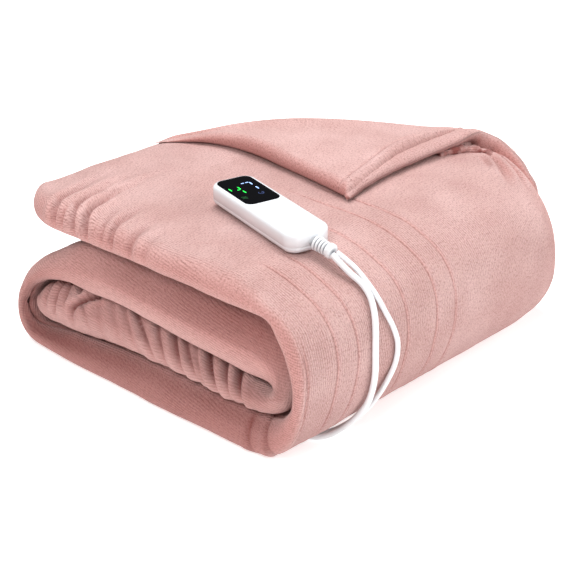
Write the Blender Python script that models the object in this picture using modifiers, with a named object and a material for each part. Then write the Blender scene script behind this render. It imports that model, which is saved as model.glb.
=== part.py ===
"""Electric heated blanket, folded lengthwise in three plies and rolled into a low packet.

The strip of folded cloth is one solid. Its Y-Z section winds from the top layer over the rounded
front, under the packet, up the back and in again to the core. The right rear corner of the top
layer is turned back over the top as a flap. A handset lies on the top, and its two thin leads run
down the front and under the packet: one to a connector on the blanket's back, one to a mains plug.

X runs along the packet's width, the front faces -Y and Z is up. Metres, origin under the middle.
"""

import math

import bmesh
import bpy
import numpy as np
from mathutils import Vector

MM = 0.001

# ---------------------------------------------------------------- driving sizes
PACKET_RIGHT = 0.2175
PLY_GAP = 0.0016
HEM_ROUND = 0.0085
FOLD_BACK = 0.0030
SOLID_GAP = 0.0003

HANDSET_SIZE = (0.0430, 0.1470, 0.0205)
HANDSET_CENTRE = (-0.1005, -0.0540, 0.1815)
HANDSET_TURN = math.radians(-12.8)
HANDSET_CORNER = 0.0100
HANDSET_EDGE = 0.0040
SCREEN_SIZE = (0.0350, 0.0590, 0.0009)
SCREEN_FORWARD = 0.0390
SCREEN_CORNER = 0.0060
SCREEN_SUNK = 0.0006

# The strain relief at the handset's tail: its ends, its ribbed radii, and the collar on its end.
RELIEF_START = (-0.1173, -0.1281, 0.1800)
RELIEF_END = (-0.1166, -0.1483, 0.1768)
RELIEF_RADIUS = (0.0066, 0.0060)
RELIEF_RIBS = 4
RIB_DEPTH = 0.0009
COLLAR_RADIUS = 0.0070
COLLAR_LENGTH = 0.0055

MAINS_DIAMETER = 0.006
BLANKET_DIAMETER = 0.005
LEAD_SIDES_LEVEL = 2
LEAD_STEP = 0.0135

# The coil of mains lead behind the packet, the tie around it and the plug beside it.
COIL_CENTRE = (-0.0700, 0.2630)
COIL_RADIUS = 0.0335
COIL_HALF_WIDTH = 0.0094
COIL_FLOOR = 0.0015
COIL_HEIGHT = 0.0126
TIE_WIDTH = 0.0080
TIE_THICK = 0.0009
TIE_ROOM = 0.0008
TIE_ANGLE = math.radians(80)
PLUG_SIZE = (0.0290, 0.0235, 0.0150)
PLUG_CENTRE = (0.0335, 0.2464, 0.0079)
PLUG_RELIEF = 0.0220
PLUG_RELIEF_RADIUS = (0.0056, 0.0042)
BLADE_SIZE = (0.0170, 0.0015, 0.0064)
BLADE_SPACING = 0.0127

# The connector on the blanket's lead and the socket block sewn to the back of the packet.
SOCKET_SIZE = (0.0300, 0.0140, 0.0210)
SOCKET_CENTRE = (0.0750, 0.2096, 0.0350)
CONNECTOR_SIZE = (0.0320, 0.0125, 0.0185)
CONNECTOR_RELIEF = 0.0230
CONNECTOR_RELIEF_RADIUS = (0.0050, 0.0036)

# The leads' routes, mm: hand-chosen points from the strain relief down the front, under the packet
# and out at the back.
MAINS_ROUTE = (
    (-119.4, -149.9, 176.0),
    (-118.5, -158.5, 170.4),
    (-114.5, -167.5, 161.6),
    (-111.5, -178.0, 154.6),
    (-112.0, -188.3, 146.2),
    (-115.5, -197.2, 134.0),
    (-119.5, -202.9, 117.6),
    (-121.3, -204.9, 98.0),
    (-119.5, -203.8, 78.0),
    (-116.5, -199.0, 58.0),
    (-115.5, -191.8, 38.0),
    (-118.5, -181.8, 21.0),
    (-127.0, -172.0, 8.6),
    (-140.0, -165.5, 3.5),
    (-152.0, -154.5, 3.2),
    (-157.6, -137.0, 3.2),
    (-158.0, -90.0, 3.2),
    (-158.0, -20.0, 3.2),
    (-158.0, 60.0, 3.2),
    (-158.0, 130.0, 3.2),
    (-158.0, 175.0, 3.2),
    (-155.5, 197.0, 3.2),
    (-147.0, 212.5, 3.2),
    (-132.0, 221.5, 3.3),
    (-115.0, 223.3, 4.0),
    (-93.4, 223.3, 4.5),
)
BLANKET_ROUTE = (
    (-113.5, -149.9, 176.2),
    (-109.6, -158.0, 170.2),
    (-105.0, -167.0, 161.6),
    (-104.8, -178.0, 154.0),
    (-105.0, -189.0, 145.4),
    (-102.0, -198.3, 130.4),
    (-95.5, -203.8, 112.4),
    (-90.5, -204.7, 96.0),
    (-90.0, -202.6, 76.0),
    (-95.5, -198.0, 56.5),
    (-103.5, -190.4, 36.2),
    (-110.0, -179.4, 18.6),
    (-118.5, -168.6, 7.4),
    (-130.5, -162.5, 3.2),
    (-142.6, -155.6, 2.8),
    (-149.6, -144.0, 2.8),
    (-151.6, -128.0, 2.8),
    (-151.6, -90.0, 2.8),
    (-151.6, -20.0, 2.8),
    (-151.6, 60.0, 2.8),
    (-151.6, 130.0, 2.8),
    (-151.2, 172.0, 2.8),
    (-147.0, 193.0, 2.8),
    (-135.0, 206.5, 2.8),
    (-115.0, 211.4, 2.8),
    (-90.0, 212.0, 3.2),
    (-55.0, 211.2, 10.0),
    (-28.0, 210.0, 23.0),
    (-6.0, 209.7, 32.5),
    (3.4, 209.6, 34.6),
)
TAIL_ROUTE = (
    (-30.3, 240.2, 10.4),
    (-22.0, 243.9, 9.7),
    (-12.5, 246.0, 8.6),
    (-3.1, 246.4, 7.9),
)

# ---------------------------------------------------------------- the strip's Y-Z section, mm
# One row for each place along the strip, from the free end of the top layer to the end of the core.
# Columns: outer y, outer z, inner y, inner z, left edge x, depth of the rounded left edge, and
# the step between sections that starts here.
STRIP_COLUMNS = ("outer_y", "outer_z", "inner_y", "inner_z", "left", "roll", "step")
STRIP = (
    # the top layer, from its rounded end forwards
    (205, 158, 205, 141, -213.5, 13, 4),
    (190, 163.5, 190, 139, -213.5, 14, 9),
    (150, 167, 150, 139.5, -213.5, 15, 8),
    (100, 168.5, 100, 140, -213.5, 15, 8),
    (40, 168.5, 40, 140.5, -213.5, 15, 18),
    (-30, 169.5, -30, 142, -213.5, 14, 29),
    (-88, 170.5, -86, 145, -213.5, 12, 16),
    (-120, 169.5, -113, 145.5, -213.5, 10, 14),
    # over the front
    (-150, 163, -140, 140, -213.5, 8, 14),
    (-178, 150, -161, 132, -213.5, 7, 14),
    (-193, 134, -171, 121, -213.5, 7, 14),
    (-200, 116, -176, 110, -213.5, 7, 14),
    (-202, 97, -178, 95, -213, 7, 14),
    (-200, 76, -177, 77, -212.5, 7, 14),
    (-194, 53, -171, 62, -212, 9, 14),
    (-181, 27, -160, 50, -212, 12, 12),
    (-160, 7, -146, 41, -214, 16, 12),
    (-138, 0, -130, 38, -217, 18, 24),
    # under the packet
    (-90, 0, -90, 37, -219, 19, 60),
    (-30, 0, -30, 36, -219, 19, 70),
    (40, 0, 40, 35, -219, 18, 70),
    (110, 0, 105, 33, -218, 17, 22),
    (155, 0.5, 145, 31, -217.5, 15, 14),
    # up the back
    (184, 5, 164, 30, -217, 10, 11),
    (198, 17, 177, 34, -216.5, 8, 11),
    (202, 32, 182, 41, -216.5, 7, 11),
    (198, 52, 178, 50, -216.5, 8, 13),
    (182, 76, 166, 63, -216.5, 9, 14),
    (160, 97, 145, 78, -216.5, 12, 20),
    (127, 118, 110, 87, -216, 16, 20),
    # forwards again, under the top layer
    (98, 131, 88, 86, -216, 20, 22),
    (60, 136, 55, 84, -215.5, 22, 30),
    (0, 137, 0, 81, -215.5, 23, 30),
    (-60, 138.5, -60, 78, -215, 23, 24),
    (-110, 140, -103, 75.5, -215, 22, 16),
    # the small turn inside the front
    (-138, 137.5, -128, 75.3, -214.5, 20, 15),
    (-160, 127, -140, 74.6, -214, 18, 15),
    (-171, 112, -148, 73.2, -213, 17, 15),
    (-175, 94, -151.5, 71.2, -212, 17, 15),
    (-173, 76, -150, 69.2, -211, 17, 15),
    (-163, 57, -142, 68.2, -209, 17, 15),
    (-145, 44.5, -128, 68.6, -208, 17, 12),
    # the core, backwards to its rounded end
    (-120, 41, -110, 70, -207.5, 17, 11),
    (-60, 39.5, -60, 73.7, -207.5, 18, 11),
    (0, 39, 0, 77, -208, 18, 14),
    (60, 38, 55, 79.5, -208, 18, 14),
    (110, 36.5, 100, 81, -208.5, 17, 12),
    (150, 36, 136, 75, -209, 15, 9),
    (170, 42, 158, 62.5, -209.5, 11, 8),
)

# Places across the strip where the section has a point on its outer face: the five sewn channel
# lines, points between them, and points beside the leads' groove under the packet.
CHANNEL_LINES = (-0.1675, -0.1405, -0.0725, -0.0305, -0.0025)
CHANNEL_DEPTH = 0.0011
FACE_PLACES = (0.198, 0.165, 0.125, 0.075, 0.032, -0.016, -0.050, -0.105, -0.154, -0.184)
BACK_PLACES = (0.198, 0.165, 0.125, 0.000, -0.150)
SLIT_PLACES = (0.198, 0.165, 0.125, -0.120)
LEAST_SPACING = 0.0028

# The groove that the cloth makes over the two leads under the packet.
GROOVE_MIDDLE = -0.1548
GROOVE_HALF = 0.0085
GROOVE_SLOPE = 0.0130
GROOVE_HEIGHT = 0.0078

# Gathers that run in from the left edge. Columns: y of the trough at the edge, depth and reach, mm.
TOP_GATHERS = (
    (148, 2.4, 60),
    (133, 2.6, 75),
    (118, 3.4, 95),
    (103, 3.0, 105),
    (86, 2.6, 90),
    (66, 2.2, 70),
    (46, 1.6, 55),
)
GATHER_LEAN = 0.24
GATHER_WIDTH = 0.0058
RIDGE_OFFSET = 0.0085
RIDGE_SHARE = 0.45
CORE_GATHERS = (
    (146, 3.2, 60),
    (124, 3.8, 60),
    (98, 4.4, 60),
    (72, 2.4, 60),
    (30, 3.0, 60),
    (8, 3.4, 60),
    (-14, 3.6, 60),
    (-36, 4.0, 60),
    (-58, 4.2, 60),
    (-80, 4.2, 60),
    (-102, 4.0, 60),
    (-124, 3.6, 60),
)
CORE_LEAN = 0.65
CORE_MIDDLE_Z = 0.062

# The packet's right end draws in: its upper part most.
TAPER_LENGTH = 0.095
TAPER_LOW = 0.045
TAPER_RISE = 2.05
TAPER_TOP = 0.150
SINK_SHARE = 0.15
LIFT_MOST = 0.009

# The top layer's rear left corner is rounded in plan.
CORNER_START = 0.128
CORNER_REACH = 0.080
CORNER_PULL = 0.056

# ---------------------------------------------------------------- the turned-back corner, mm
# One row for each place from the flap's front hem to the back: y, the flap's folded left edge,
# the crease on its right, and the flap's top above the table.
FLAP_COLUMNS = ("y", "left", "crease", "top")
FLAP = (
    (-74, -13, 216, 188),
    (-62, -11, 216, 189.5),
    (-16, -3, 190, 188.5),
    (30, 3, 160, 188),
    (72, 8, 126, 188),
    (98, 8, 102, 187),
    (142, 2, 56, 181),
    (170, -8, 26, 174),
    (194, -20, 1, 168.5),
)
# The strip's hem on the right, a raised band from the flap's end down the front.
# Columns: y and z of its outer line, mm, its depth into the cloth and its half width.
BAND_X = 0.2125
BAND = (
    (-44, 181.0, 14, 4.0),
    (-58, 181.5, 20, 6.0),
    (-75, 178.5, 23, 7.5),
    (-92, 172.0, 23, 7.5),
    (-107, 162.5, 21, 7.0),
    (-121, 150.0, 18, 6.0),
    (-132, 136.5, 15, 5.0),
    (-141, 122.0, 11, 3.5),
)
FLAP_REST = 0.0022
FLAP_PLACES = (0.165, 0.125, 0.075, 0.032)
CREASE_RADIUS = 0.0235


def collection(name):
    made = bpy.data.collections.new(name)
    bpy.context.scene.collection.children.link(made)
    return made


def smooth_curve(rows, places):
    """A smooth curve through the rows, read at places counted in rows. The rows are unevenly spaced."""
    rows = np.asarray(rows, float)
    chord = np.maximum(np.linalg.norm(np.diff(rows[:, :4], axis=0), axis=1), 1e-9)
    at = np.concatenate([[0.0], np.cumsum(chord)])
    slope = np.gradient(rows, at, axis=0, edge_order=1)
    places = np.clip(np.asarray(places, float), 0, len(rows) - 1)
    leg = np.minimum(places.astype(int), len(rows) - 2)
    u = (places - leg)[:, None]
    h = chord[leg][:, None]
    a, b = rows[leg], rows[leg + 1]
    sa, sb = slope[leg] * h, slope[leg + 1] * h
    return (
        a * (2 * u**3 - 3 * u**2 + 1)
        + sa * (u**3 - 2 * u**2 + u)
        + b * (3 * u**2 - 2 * u**3)
        + sb * (u**3 - u**2)
    )


def strip_sections():
    """The strip's sections: a dict of arrays, one value for each section, in metres."""
    rows = np.array(STRIP, float)
    places = [0.0]
    for i in range(len(rows) - 1):
        middle = (rows[i : i + 2, :2] + rows[i : i + 2, 2:4]) / 2
        length = float(np.linalg.norm(middle[1] - middle[0]))
        count = max(1, round(length / rows[i, 6]))
        places += [i + (k + 1) / count for k in range(count)]
    read = smooth_curve(rows[:, :6], places) * MM
    sections = {name: read[:, k] for k, name in enumerate(STRIP_COLUMNS[:6])}
    sections["outer_z"] = np.maximum(sections["outer_z"], 0.0)
    return sections


def corner_pull(y):
    """How far the top layer's left edge draws in at its rounded rear corner."""
    t = np.clip((y - CORNER_START) / CORNER_REACH, 0, 0.97)
    return CORNER_PULL * (1 - np.sqrt(1 - t**2))


def crease_x(y):
    """The crease's outer line, from the flap's rows."""
    table = np.array(FLAP, float) * MM
    return np.interp(y, table[:, 0], table[:, 2], left=1.0)


def spread(xs, low, high):
    """Places from right to left, held between high and low with a little room left between them."""
    xs = np.array(xs, float)
    count = len(xs)
    room = min(LEAST_SPACING, 0.9 * (high - low) / (count + 1))
    held = np.minimum(xs, high - room * np.arange(1, count + 1))
    return np.maximum(held, low + room * np.arange(count, 0, -1))


def fold_section(left, right, roll, thick):
    """One section across the strip: the cloth folded over at its left edge, with the gap between its
    outer ply and the plies below open at the right. Returns its loop as rows of x, w and the way in
    which each point swells, in x and in w. w runs from 1 on the outer face to -1 on the inner."""
    near = HEM_ROUND * min(1.0, thick / 0.024)
    gap = min(PLY_GAP, 0.055 * thick) / thick
    upper, lower = 1 / 3 + gap, 1 / 3 - gap
    fold = right - FOLD_BACK
    loop = [(right - near, 1, 0, 1)]
    face = sorted(FACE_PLACES + CHANNEL_LINES, reverse=True)
    loop += [(x, 1, 0, 1) for x in spread(face, left + roll, right - near)]
    for angle in (90, 60, 30, 0, -30, -60, -90):
        a = math.radians(angle)
        loop.append((left + roll * (1 - math.cos(a)), math.sin(a), -math.cos(a), math.sin(a)))
    loop += [(x, -1, 0, 0) for x in spread(BACK_PLACES, left + roll, fold - near)[::-1]]
    middle, half = (lower - 1) / 2, (lower + 1) / 2
    for angle in (-90, -30, 30, 90):
        a = math.radians(angle)
        loop.append((fold - near * (1 - math.cos(a)), middle + half * math.sin(a), 0, 0))
    inside = spread(SLIT_PLACES, left + roll, fold - near)
    loop += [(x, lower, 0, 0) for x in inside]
    loop += [(x, upper, 0, 0) for x in inside[::-1]]
    loop.append((right - near, upper, 0, 0))
    loop.append((right, upper + 0.3 * (1 - upper), 1, 0))
    loop.append((right, 1 - 0.3 * (1 - upper), 1, 0))
    return np.array(loop)


def gather_depth(table, y, reach_from_edge, lean):
    """How far the cloth is drawn in at y, that far in from the left edge."""
    depth = np.zeros_like(y)
    for place, most, reach in table:
        off = y - place * MM - lean * reach_from_edge
        trough = np.exp(-((off / GATHER_WIDTH) ** 2))
        ridge = RIDGE_SHARE * np.exp(-(((off - RIDGE_OFFSET) / GATHER_WIDTH) ** 2))
        fade = np.clip(1 - reach_from_edge / (reach * MM), 0, 1)
        depth += most * MM * (trough - ridge) * fade**1.3
    return depth


def packet_form(points):
    """Draws in the packet's right end, the upper part most, and lifts its lower edge a little."""
    x, y, z = points[..., 0], points[..., 1], points[..., 2]
    t = np.clip((x - (PACKET_RIGHT - TAPER_LENGTH)) / TAPER_LENGTH, 0, 1) ** 2.4
    pull = t * (TAPER_LOW + TAPER_RISE * np.clip(z, 0, TAPER_TOP))
    lift = LIFT_MOST * t * np.clip(1 - z / 0.170, 0, 1)
    return np.stack([x, y * (1 - pull), z * (1 - SINK_SHARE * pull) + lift], axis=-1)


def end_part(i, count, first, last):
    """The share of its thickness that section i of count keeps, where the ends are thinned."""
    if i < len(first):
        return first[i]
    if count - 1 - i < len(last):
        return last[count - 1 - i]
    return 1.0


def strip_points():
    """The strip's grid of points: sections by loop points by 3."""
    s = strip_sections()
    count = len(s["outer_y"])
    top_layer = int(np.argmin(s["outer_y"]))
    core_start = int(np.argmin(np.where(np.arange(count) > count // 2, s["outer_y"], 1)))
    grid = []
    for i in range(count):
        outer = np.array([s["outer_y"][i], s["outer_z"][i]])
        inner = np.array([s["inner_y"][i], s["inner_z"][i]])
        middle, half = (outer + inner) / 2, (outer - inner) / 2
        half = half * end_part(i, count, (0.50, 0.80, 0.95), (0.45, 0.80))
        thick = 2 * float(np.linalg.norm(half))
        left, right = s["left"][i], PACKET_RIGHT
        on_top = i < top_layer and outer[1] > 0.150
        if on_top:
            left = left + corner_pull(outer[0])
            right = min(right, crease_x(outer[0]) - 0.010)
        loop = fold_section(left, right, s["roll"][i], thick)
        x, w, nx, nw = loop.T
        y = middle[0] + w * half[0]
        z = middle[1] + w * half[1]
        # gathers on the left edge and the faces next to it
        in_from_edge = np.maximum(x - left, 0)
        swell = np.zeros_like(x)
        if on_top:
            swell = -gather_depth(TOP_GATHERS, y, in_from_edge, GATHER_LEAN)
        if i > core_start:
            lean = CORE_LEAN * (z - CORE_MIDDLE_Z)
            swell = -gather_depth(CORE_GATHERS, y - lean, in_from_edge * 2.2, 0.0)
        normal = half / max(np.linalg.norm(half), 1e-9)
        x = x + nx * swell
        y = y + nw * swell * normal[0]
        z = z + nw * swell * normal[1]
        # the sewn channel lines, pressed flat where the cloth lies on the table
        on_line = np.isin(np.round(loop[:, 0], 6), np.round(CHANNEL_LINES, 6)) & (w == 1)
        on_line = on_line & (z > 2 * CHANNEL_DEPTH)
        y = y - on_line * CHANNEL_DEPTH * normal[0]
        z = z - on_line * CHANNEL_DEPTH * normal[1]
        # the table below and the groove over the leads
        outer_face = (nw > 0) | (nx != 0)
        side = np.abs(x - GROOVE_MIDDLE) - GROOVE_HALF
        groove = GROOVE_HEIGHT * np.clip(1 - side / GROOVE_SLOPE, 0, 1)
        low = (z < 0.010) & outer_face
        z = np.where(low, np.maximum(z, groove), z)
        z = np.maximum(z, 0.0)
        grid.append(packet_form(np.stack([x, y, z], axis=-1)))
    return np.array(grid)


def close_end(mesh, loop, start, turn):
    """Closes a loop with triangles between its two sides: from start on to turn, and from before start
    back to after turn. On a long thin section this keeps every triangle short."""
    count = len(loop)
    one = [loop[(start + k) % count] for k in range((turn - start) % count + 1)]
    other = [loop[(start - 1 - k) % count] for k in range(count - len(one))]
    i = j = 0
    while i + 1 < len(one) or j + 1 < len(other):
        step_one = (one[i + 1].co - other[j].co).length if i + 1 < len(one) else math.inf
        step_other = (one[i].co - other[j + 1].co).length if j + 1 < len(other) else math.inf
        if step_one <= step_other:
            mesh.faces.new((one[i], one[i + 1], other[j]))
            i += 1
        else:
            mesh.faces.new((one[i], other[j + 1], other[j]))
            j += 1


def loft(name, grid, made_in, start, turn):
    """A closed solid from a grid of loops. start and turn part each loop in two sides, for its ends."""
    rows, around = grid.shape[:2]
    mesh = bmesh.new()
    verts = [[mesh.verts.new(tuple(point)) for point in row] for row in grid]
    for i in range(rows - 1):
        for j in range(around):
            k = (j + 1) % around
            mesh.faces.new((verts[i][j], verts[i][k], verts[i + 1][k], verts[i + 1][j]))
    close_end(mesh, verts[0], start, turn)
    close_end(mesh, verts[-1], start, turn)
    bmesh.ops.triangulate(mesh, faces=mesh.faces, quad_method="SHORT_EDGE")
    bmesh.ops.recalc_face_normals(mesh, faces=mesh.faces)
    if mesh.calc_volume(signed=True) < 0:
        bmesh.ops.reverse_faces(mesh, faces=mesh.faces)
    data = bpy.data.meshes.new(name)
    mesh.to_mesh(data)
    mesh.free()
    obj = bpy.data.objects.new(name, data)
    made_in.objects.link(obj)
    return obj


def top_layer_height(y):
    """Upper and lower face of the top layer at y, before the packet's form is drawn in."""
    rows = np.array([row for row in STRIP[:7]], float)[::-1] * MM
    upper = np.interp(y, rows[:, 0], rows[:, 1])
    lower = np.interp(y, rows[:, 2], rows[:, 3])
    return upper, lower


def flap_rows():
    """The flap's rows, smooth, from the front hem to the back."""
    table = np.array(FLAP, float)
    places = (0, 0.45, 1, 1.5, 2, 2.5, 3, 3.5, 4, 5, 6, 7, 7.5, 8)
    return smooth_curve(table, places) * MM


def flap_points():
    """The flap's grid of points. Its crease is a roll that also covers the top layer's cut-back edge."""
    grid = []
    rows = flap_rows()
    front = (0.45, 0.86)
    for i, (y, left, crease, top) in enumerate(rows):
        upper, lower = top_layer_height(y)
        bottom = upper + FLAP_REST
        middle, half = (bottom + top) / 2, (top - bottom) / 2
        half *= end_part(i, len(rows), front, front)
        crown, floor = middle + half, middle - half
        wide = crease - left
        radius = min(CREASE_RADIUS, 0.5 * wide)
        inner = crease - radius
        roll = min(0.0075, 0.22 * wide)
        foot = inner - min(0.016, 0.25 * (inner - left - roll))
        loop = [(left + 0.75 * roll, floor), (left + 0.15 * roll, floor + 0.5 * half)]
        loop += [(left + 0.1 * roll, middle + 0.3 * half), (left + roll, crown)]
        loop += [(x, crown) for x in spread(FLAP_PLACES, left + roll, inner)[::-1]]
        lowest = lower + 0.0022
        roll_middle, roll_half = (crown + lowest) / 2, (crown - lowest) / 2
        for angle in (90, 60, 30, 0, -30, -60, -90):
            a = math.radians(angle)
            loop.append((inner + radius * math.cos(a), roll_middle + roll_half * math.sin(a)))
        loop += [(foot, lowest + 0.002), (foot, upper - 0.005)]
        loop += [(x, floor) for x in spread(FLAP_PLACES, left + 0.75 * roll, foot)]
        grid.append([(x, y, z) for x, z in loop])
    grid = np.array(grid)
    return packet_form(flap_lie(grid))


def flap_lie(points):
    """The flap's tip and its right end droop a little, and its front hem bows."""
    x, y, z = points[..., 0], points[..., 1], points[..., 2]
    front = np.clip(1 - (y + 0.074) / 0.060, 0, 1)
    bow = 0.009 * np.sin(np.pi * np.clip((x + 0.013) / 0.225, 0, 1)) * front
    swing = -0.026 * np.clip((x - 0.130) / 0.085, 0, 1) ** 2 * front
    return np.stack([x, y + bow + swing, z], axis=-1)


def slit_points():
    """The gap between the flap's two plies at its front hem, as a thin closed sheet to cut out."""
    grid = []
    for y, part in ((-0.090, 0), (-0.074, 0), (-0.062, 1), (-0.040, 2), (-0.010, 3)):
        left = -0.0010 + 0.010 * part / 3
        right = 0.196 - 0.020 * part / 3
        upper, _ = top_layer_height(y)
        middle = upper + 0.0098 + 0.0004 * part
        half = 0.0008
        xs = np.linspace(left, right, 6)
        loop = [(x, y, middle + half) for x in xs] + [(x, y, middle - half) for x in xs[::-1]]
        grid.append(loop)
    return packet_form(flap_lie(np.array(grid)))


def band_points():
    """The hem's band as a loft of flattened rounds along the strip's right edge."""
    rows = smooth_curve(np.array(BAND, float), np.linspace(0, len(BAND) - 1, 15)) * MM
    grid = []
    for i, (y, z, depth, half) in enumerate(rows):
        y0, z0 = rows[max(i - 1, 0), :2]
        y1, z1 = rows[min(i + 1, len(rows) - 1), :2]
        along = np.array([y1 - y0, z1 - z0]) / math.hypot(y1 - y0, z1 - z0)
        inward = np.array([-along[1], along[0]])
        inward *= -1 if inward[1] > 0 else 1
        loop = []
        for k in range(10):
            a = 2 * math.pi * k / 10
            down = 0.5 * depth * (1 - math.cos(a))
            loop.append((BAND_X + half * math.sin(a), y + inward[0] * down, z + inward[1] * down))
        grid.append(loop)
    return np.array(grid)


def boolean(obj, other, operation):
    modifier = obj.modifiers.new(operation.title(), "BOOLEAN")
    modifier.operation = operation
    modifier.object = other
    modifier.solver = "EXACT"


def material(name, colour, roughness, metallic=0.0):
    made = bpy.data.materials.new(name)
    made.use_nodes = True
    shader = made.node_tree.nodes["Principled BSDF"]
    shader.inputs["Base Color"].default_value = (*colour, 1)
    shader.inputs["Roughness"].default_value = roughness
    shader.inputs["Metallic"].default_value = metallic
    return made


def finish(obj, surface, smooth_angle=math.radians(35)):
    """Gives an object its material and smooth shading."""
    obj.data.materials.clear()
    obj.data.materials.append(surface)
    if obj.type == "MESH":
        obj.data.shade_smooth()
        obj.data.set_sharp_from_angle(angle=smooth_angle)
    return obj


def blanket(parts, helpers):
    around_fold = len(FACE_PLACES) + len(CHANNEL_LINES) + len(BACK_PLACES) + 9
    cloth = loft("blanket", strip_points(), parts, -1, around_fold)
    flap = loft("flap_corner", flap_points(), helpers, 1, len(FLAP_PLACES) + 10)
    slit = loft("flap_slit", slit_points(), helpers, 0, 5)
    band = loft("hem_band", band_points(), helpers, 0, 5)
    boolean(cloth, flap, "UNION")
    boolean(cloth, band, "UNION")
    boolean(cloth, slit, "DIFFERENCE")
    return finish(cloth, material("dusty_pink_fleece", (0.62, 0.33, 0.29), 0.95))


def rounded_block(name, size, corner, edge, made_in):
    """A block with its upright edges rounded by corner and the edges round its two faces by edge."""
    mesh = bmesh.new()
    bmesh.ops.create_cube(mesh, size=1.0)
    bmesh.ops.scale(mesh, vec=size, verts=mesh.verts)
    upright = [e for e in mesh.edges if abs(e.verts[0].co.z - e.verts[1].co.z) > size[2] / 2]
    bmesh.ops.bevel(
        mesh, geom=upright, offset=corner, segments=6, profile=0.5, affect="EDGES"
    )
    data = bpy.data.meshes.new(name)
    mesh.to_mesh(data)
    mesh.free()
    obj = bpy.data.objects.new(name, data)
    made_in.objects.link(obj)
    if edge:
        bevel = obj.modifiers.new("Edges", "BEVEL")
        bevel.width = edge
        bevel.segments = 3
        bevel.limit_method = "ANGLE"
        bevel.angle_limit = math.radians(50)
    return obj


def turned(name, profile, made_in, sides=20):
    """A solid turned about its own Z. Its profile of (radius, z) runs up on the outside."""
    mesh = bmesh.new()
    verts = [mesh.verts.new((radius, 0, z)) for radius, z in reversed(profile)]
    for a, b in zip(verts, verts[1:]):
        mesh.edges.new((a, b))
    data = bpy.data.meshes.new(name)
    mesh.to_mesh(data)
    mesh.free()
    obj = bpy.data.objects.new(name, data)
    made_in.objects.link(obj)
    screw = obj.modifiers.new("Turn", "SCREW")
    screw.axis = "Z"
    screw.steps = sides
    screw.render_steps = sides
    screw.use_merge_vertices = True
    screw.merge_threshold = 0.00001
    return obj


def relief_profile(length, radii, ribs, collar=None):
    """The profile of a ribbed strain relief from its start, at z 0, to its end, where it can have a
    collar of a given radius and length."""
    first, last = radii
    ribbed = length - (collar[1] if collar else 0)
    points = [(0, 0), (first, 0)]
    pitch = ribbed / (ribs + 1)
    for k in range(ribs):
        z = pitch * (k + 0.6)
        radius = first + (last - first) * z / ribbed
        points += [(radius, z), (radius - RIB_DEPTH, z + 0.15 * pitch)]
        points += [(radius - RIB_DEPTH, z + 0.40 * pitch), (radius, z + 0.55 * pitch)]
    if collar:
        points += [(last, ribbed), (collar[0], ribbed + RIB_DEPTH)]
        last = collar[0]
    return points + [(last, length - RIB_DEPTH), (last - RIB_DEPTH, length), (0, length)]


def aim(obj, start, end):
    """Places the object at start with its own Z pointing at end."""
    line = Vector(end) - Vector(start)
    obj.location = start
    obj.rotation_euler = line.to_track_quat("Z", "Y").to_euler()


def route_points(route, step):
    """Points a step apart along a smooth curve through a route's own points, in metres."""
    rows = np.array(route, float)
    fine = smooth_curve(np.hstack([rows, rows[:, :1]]), np.linspace(0, len(rows) - 1, 1200))
    fine = fine[:, :3] * MM
    along = np.concatenate([[0], np.cumsum(np.linalg.norm(np.diff(fine, axis=0), axis=1))])
    count = max(3, round(along[-1] / step))
    places = np.linspace(0, along[-1], count + 1)
    return np.stack([np.interp(places, along, fine[:, k]) for k in range(3)], axis=1)


def lead(name, route, diameter, made_in, surface):
    curve = bpy.data.curves.new(name, "CURVE")
    curve.dimensions = "3D"
    curve.bevel_depth = diameter / 2
    curve.bevel_resolution = LEAD_SIDES_LEVEL
    curve.use_fill_caps = True
    points = route_points(route, LEAD_STEP)
    spline = curve.splines.new("POLY")
    spline.points.add(len(points) - 1)
    for place, point in zip(spline.points, points):
        place.co = (*point, 1)
    obj = bpy.data.objects.new(name, curve)
    made_in.objects.link(obj)
    return finish(obj, surface)


def handset(parts, helpers, surfaces):
    body = rounded_block("handset_body", HANDSET_SIZE, HANDSET_CORNER, HANDSET_EDGE, parts)
    body.location = HANDSET_CENTRE
    body.rotation_euler.z = HANDSET_TURN
    recess_size = (
        SCREEN_SIZE[0] + 2 * SOLID_GAP,
        SCREEN_SIZE[1] + 2 * SOLID_GAP,
        4 * SCREEN_SUNK,
    )
    recess = rounded_block("screen_recess", recess_size, SCREEN_CORNER, 0, helpers)
    top = HANDSET_SIZE[2] / 2
    recess.location = (0, SCREEN_FORWARD, top - SCREEN_SUNK - SOLID_GAP + 2 * SCREEN_SUNK)
    recess.parent = body
    boolean(body, recess, "DIFFERENCE")
    finish(body, surfaces["white"])
    screen = rounded_block("handset_screen", SCREEN_SIZE, SCREEN_CORNER, 0, parts)
    screen.location = (0, SCREEN_FORWARD, top - SCREEN_SUNK + SCREEN_SIZE[2] / 2)
    screen.parent = body
    finish(screen, surfaces["black"])
    length = (Vector(RELIEF_END) - Vector(RELIEF_START)).length
    collar = (COLLAR_RADIUS, COLLAR_LENGTH)
    profile = relief_profile(length, RELIEF_RADIUS, RELIEF_RIBS, collar)
    relief = turned("handset_strain_relief", profile, parts)
    aim(relief, RELIEF_START, RELIEF_END)
    finish(relief, surfaces["white"])


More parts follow.
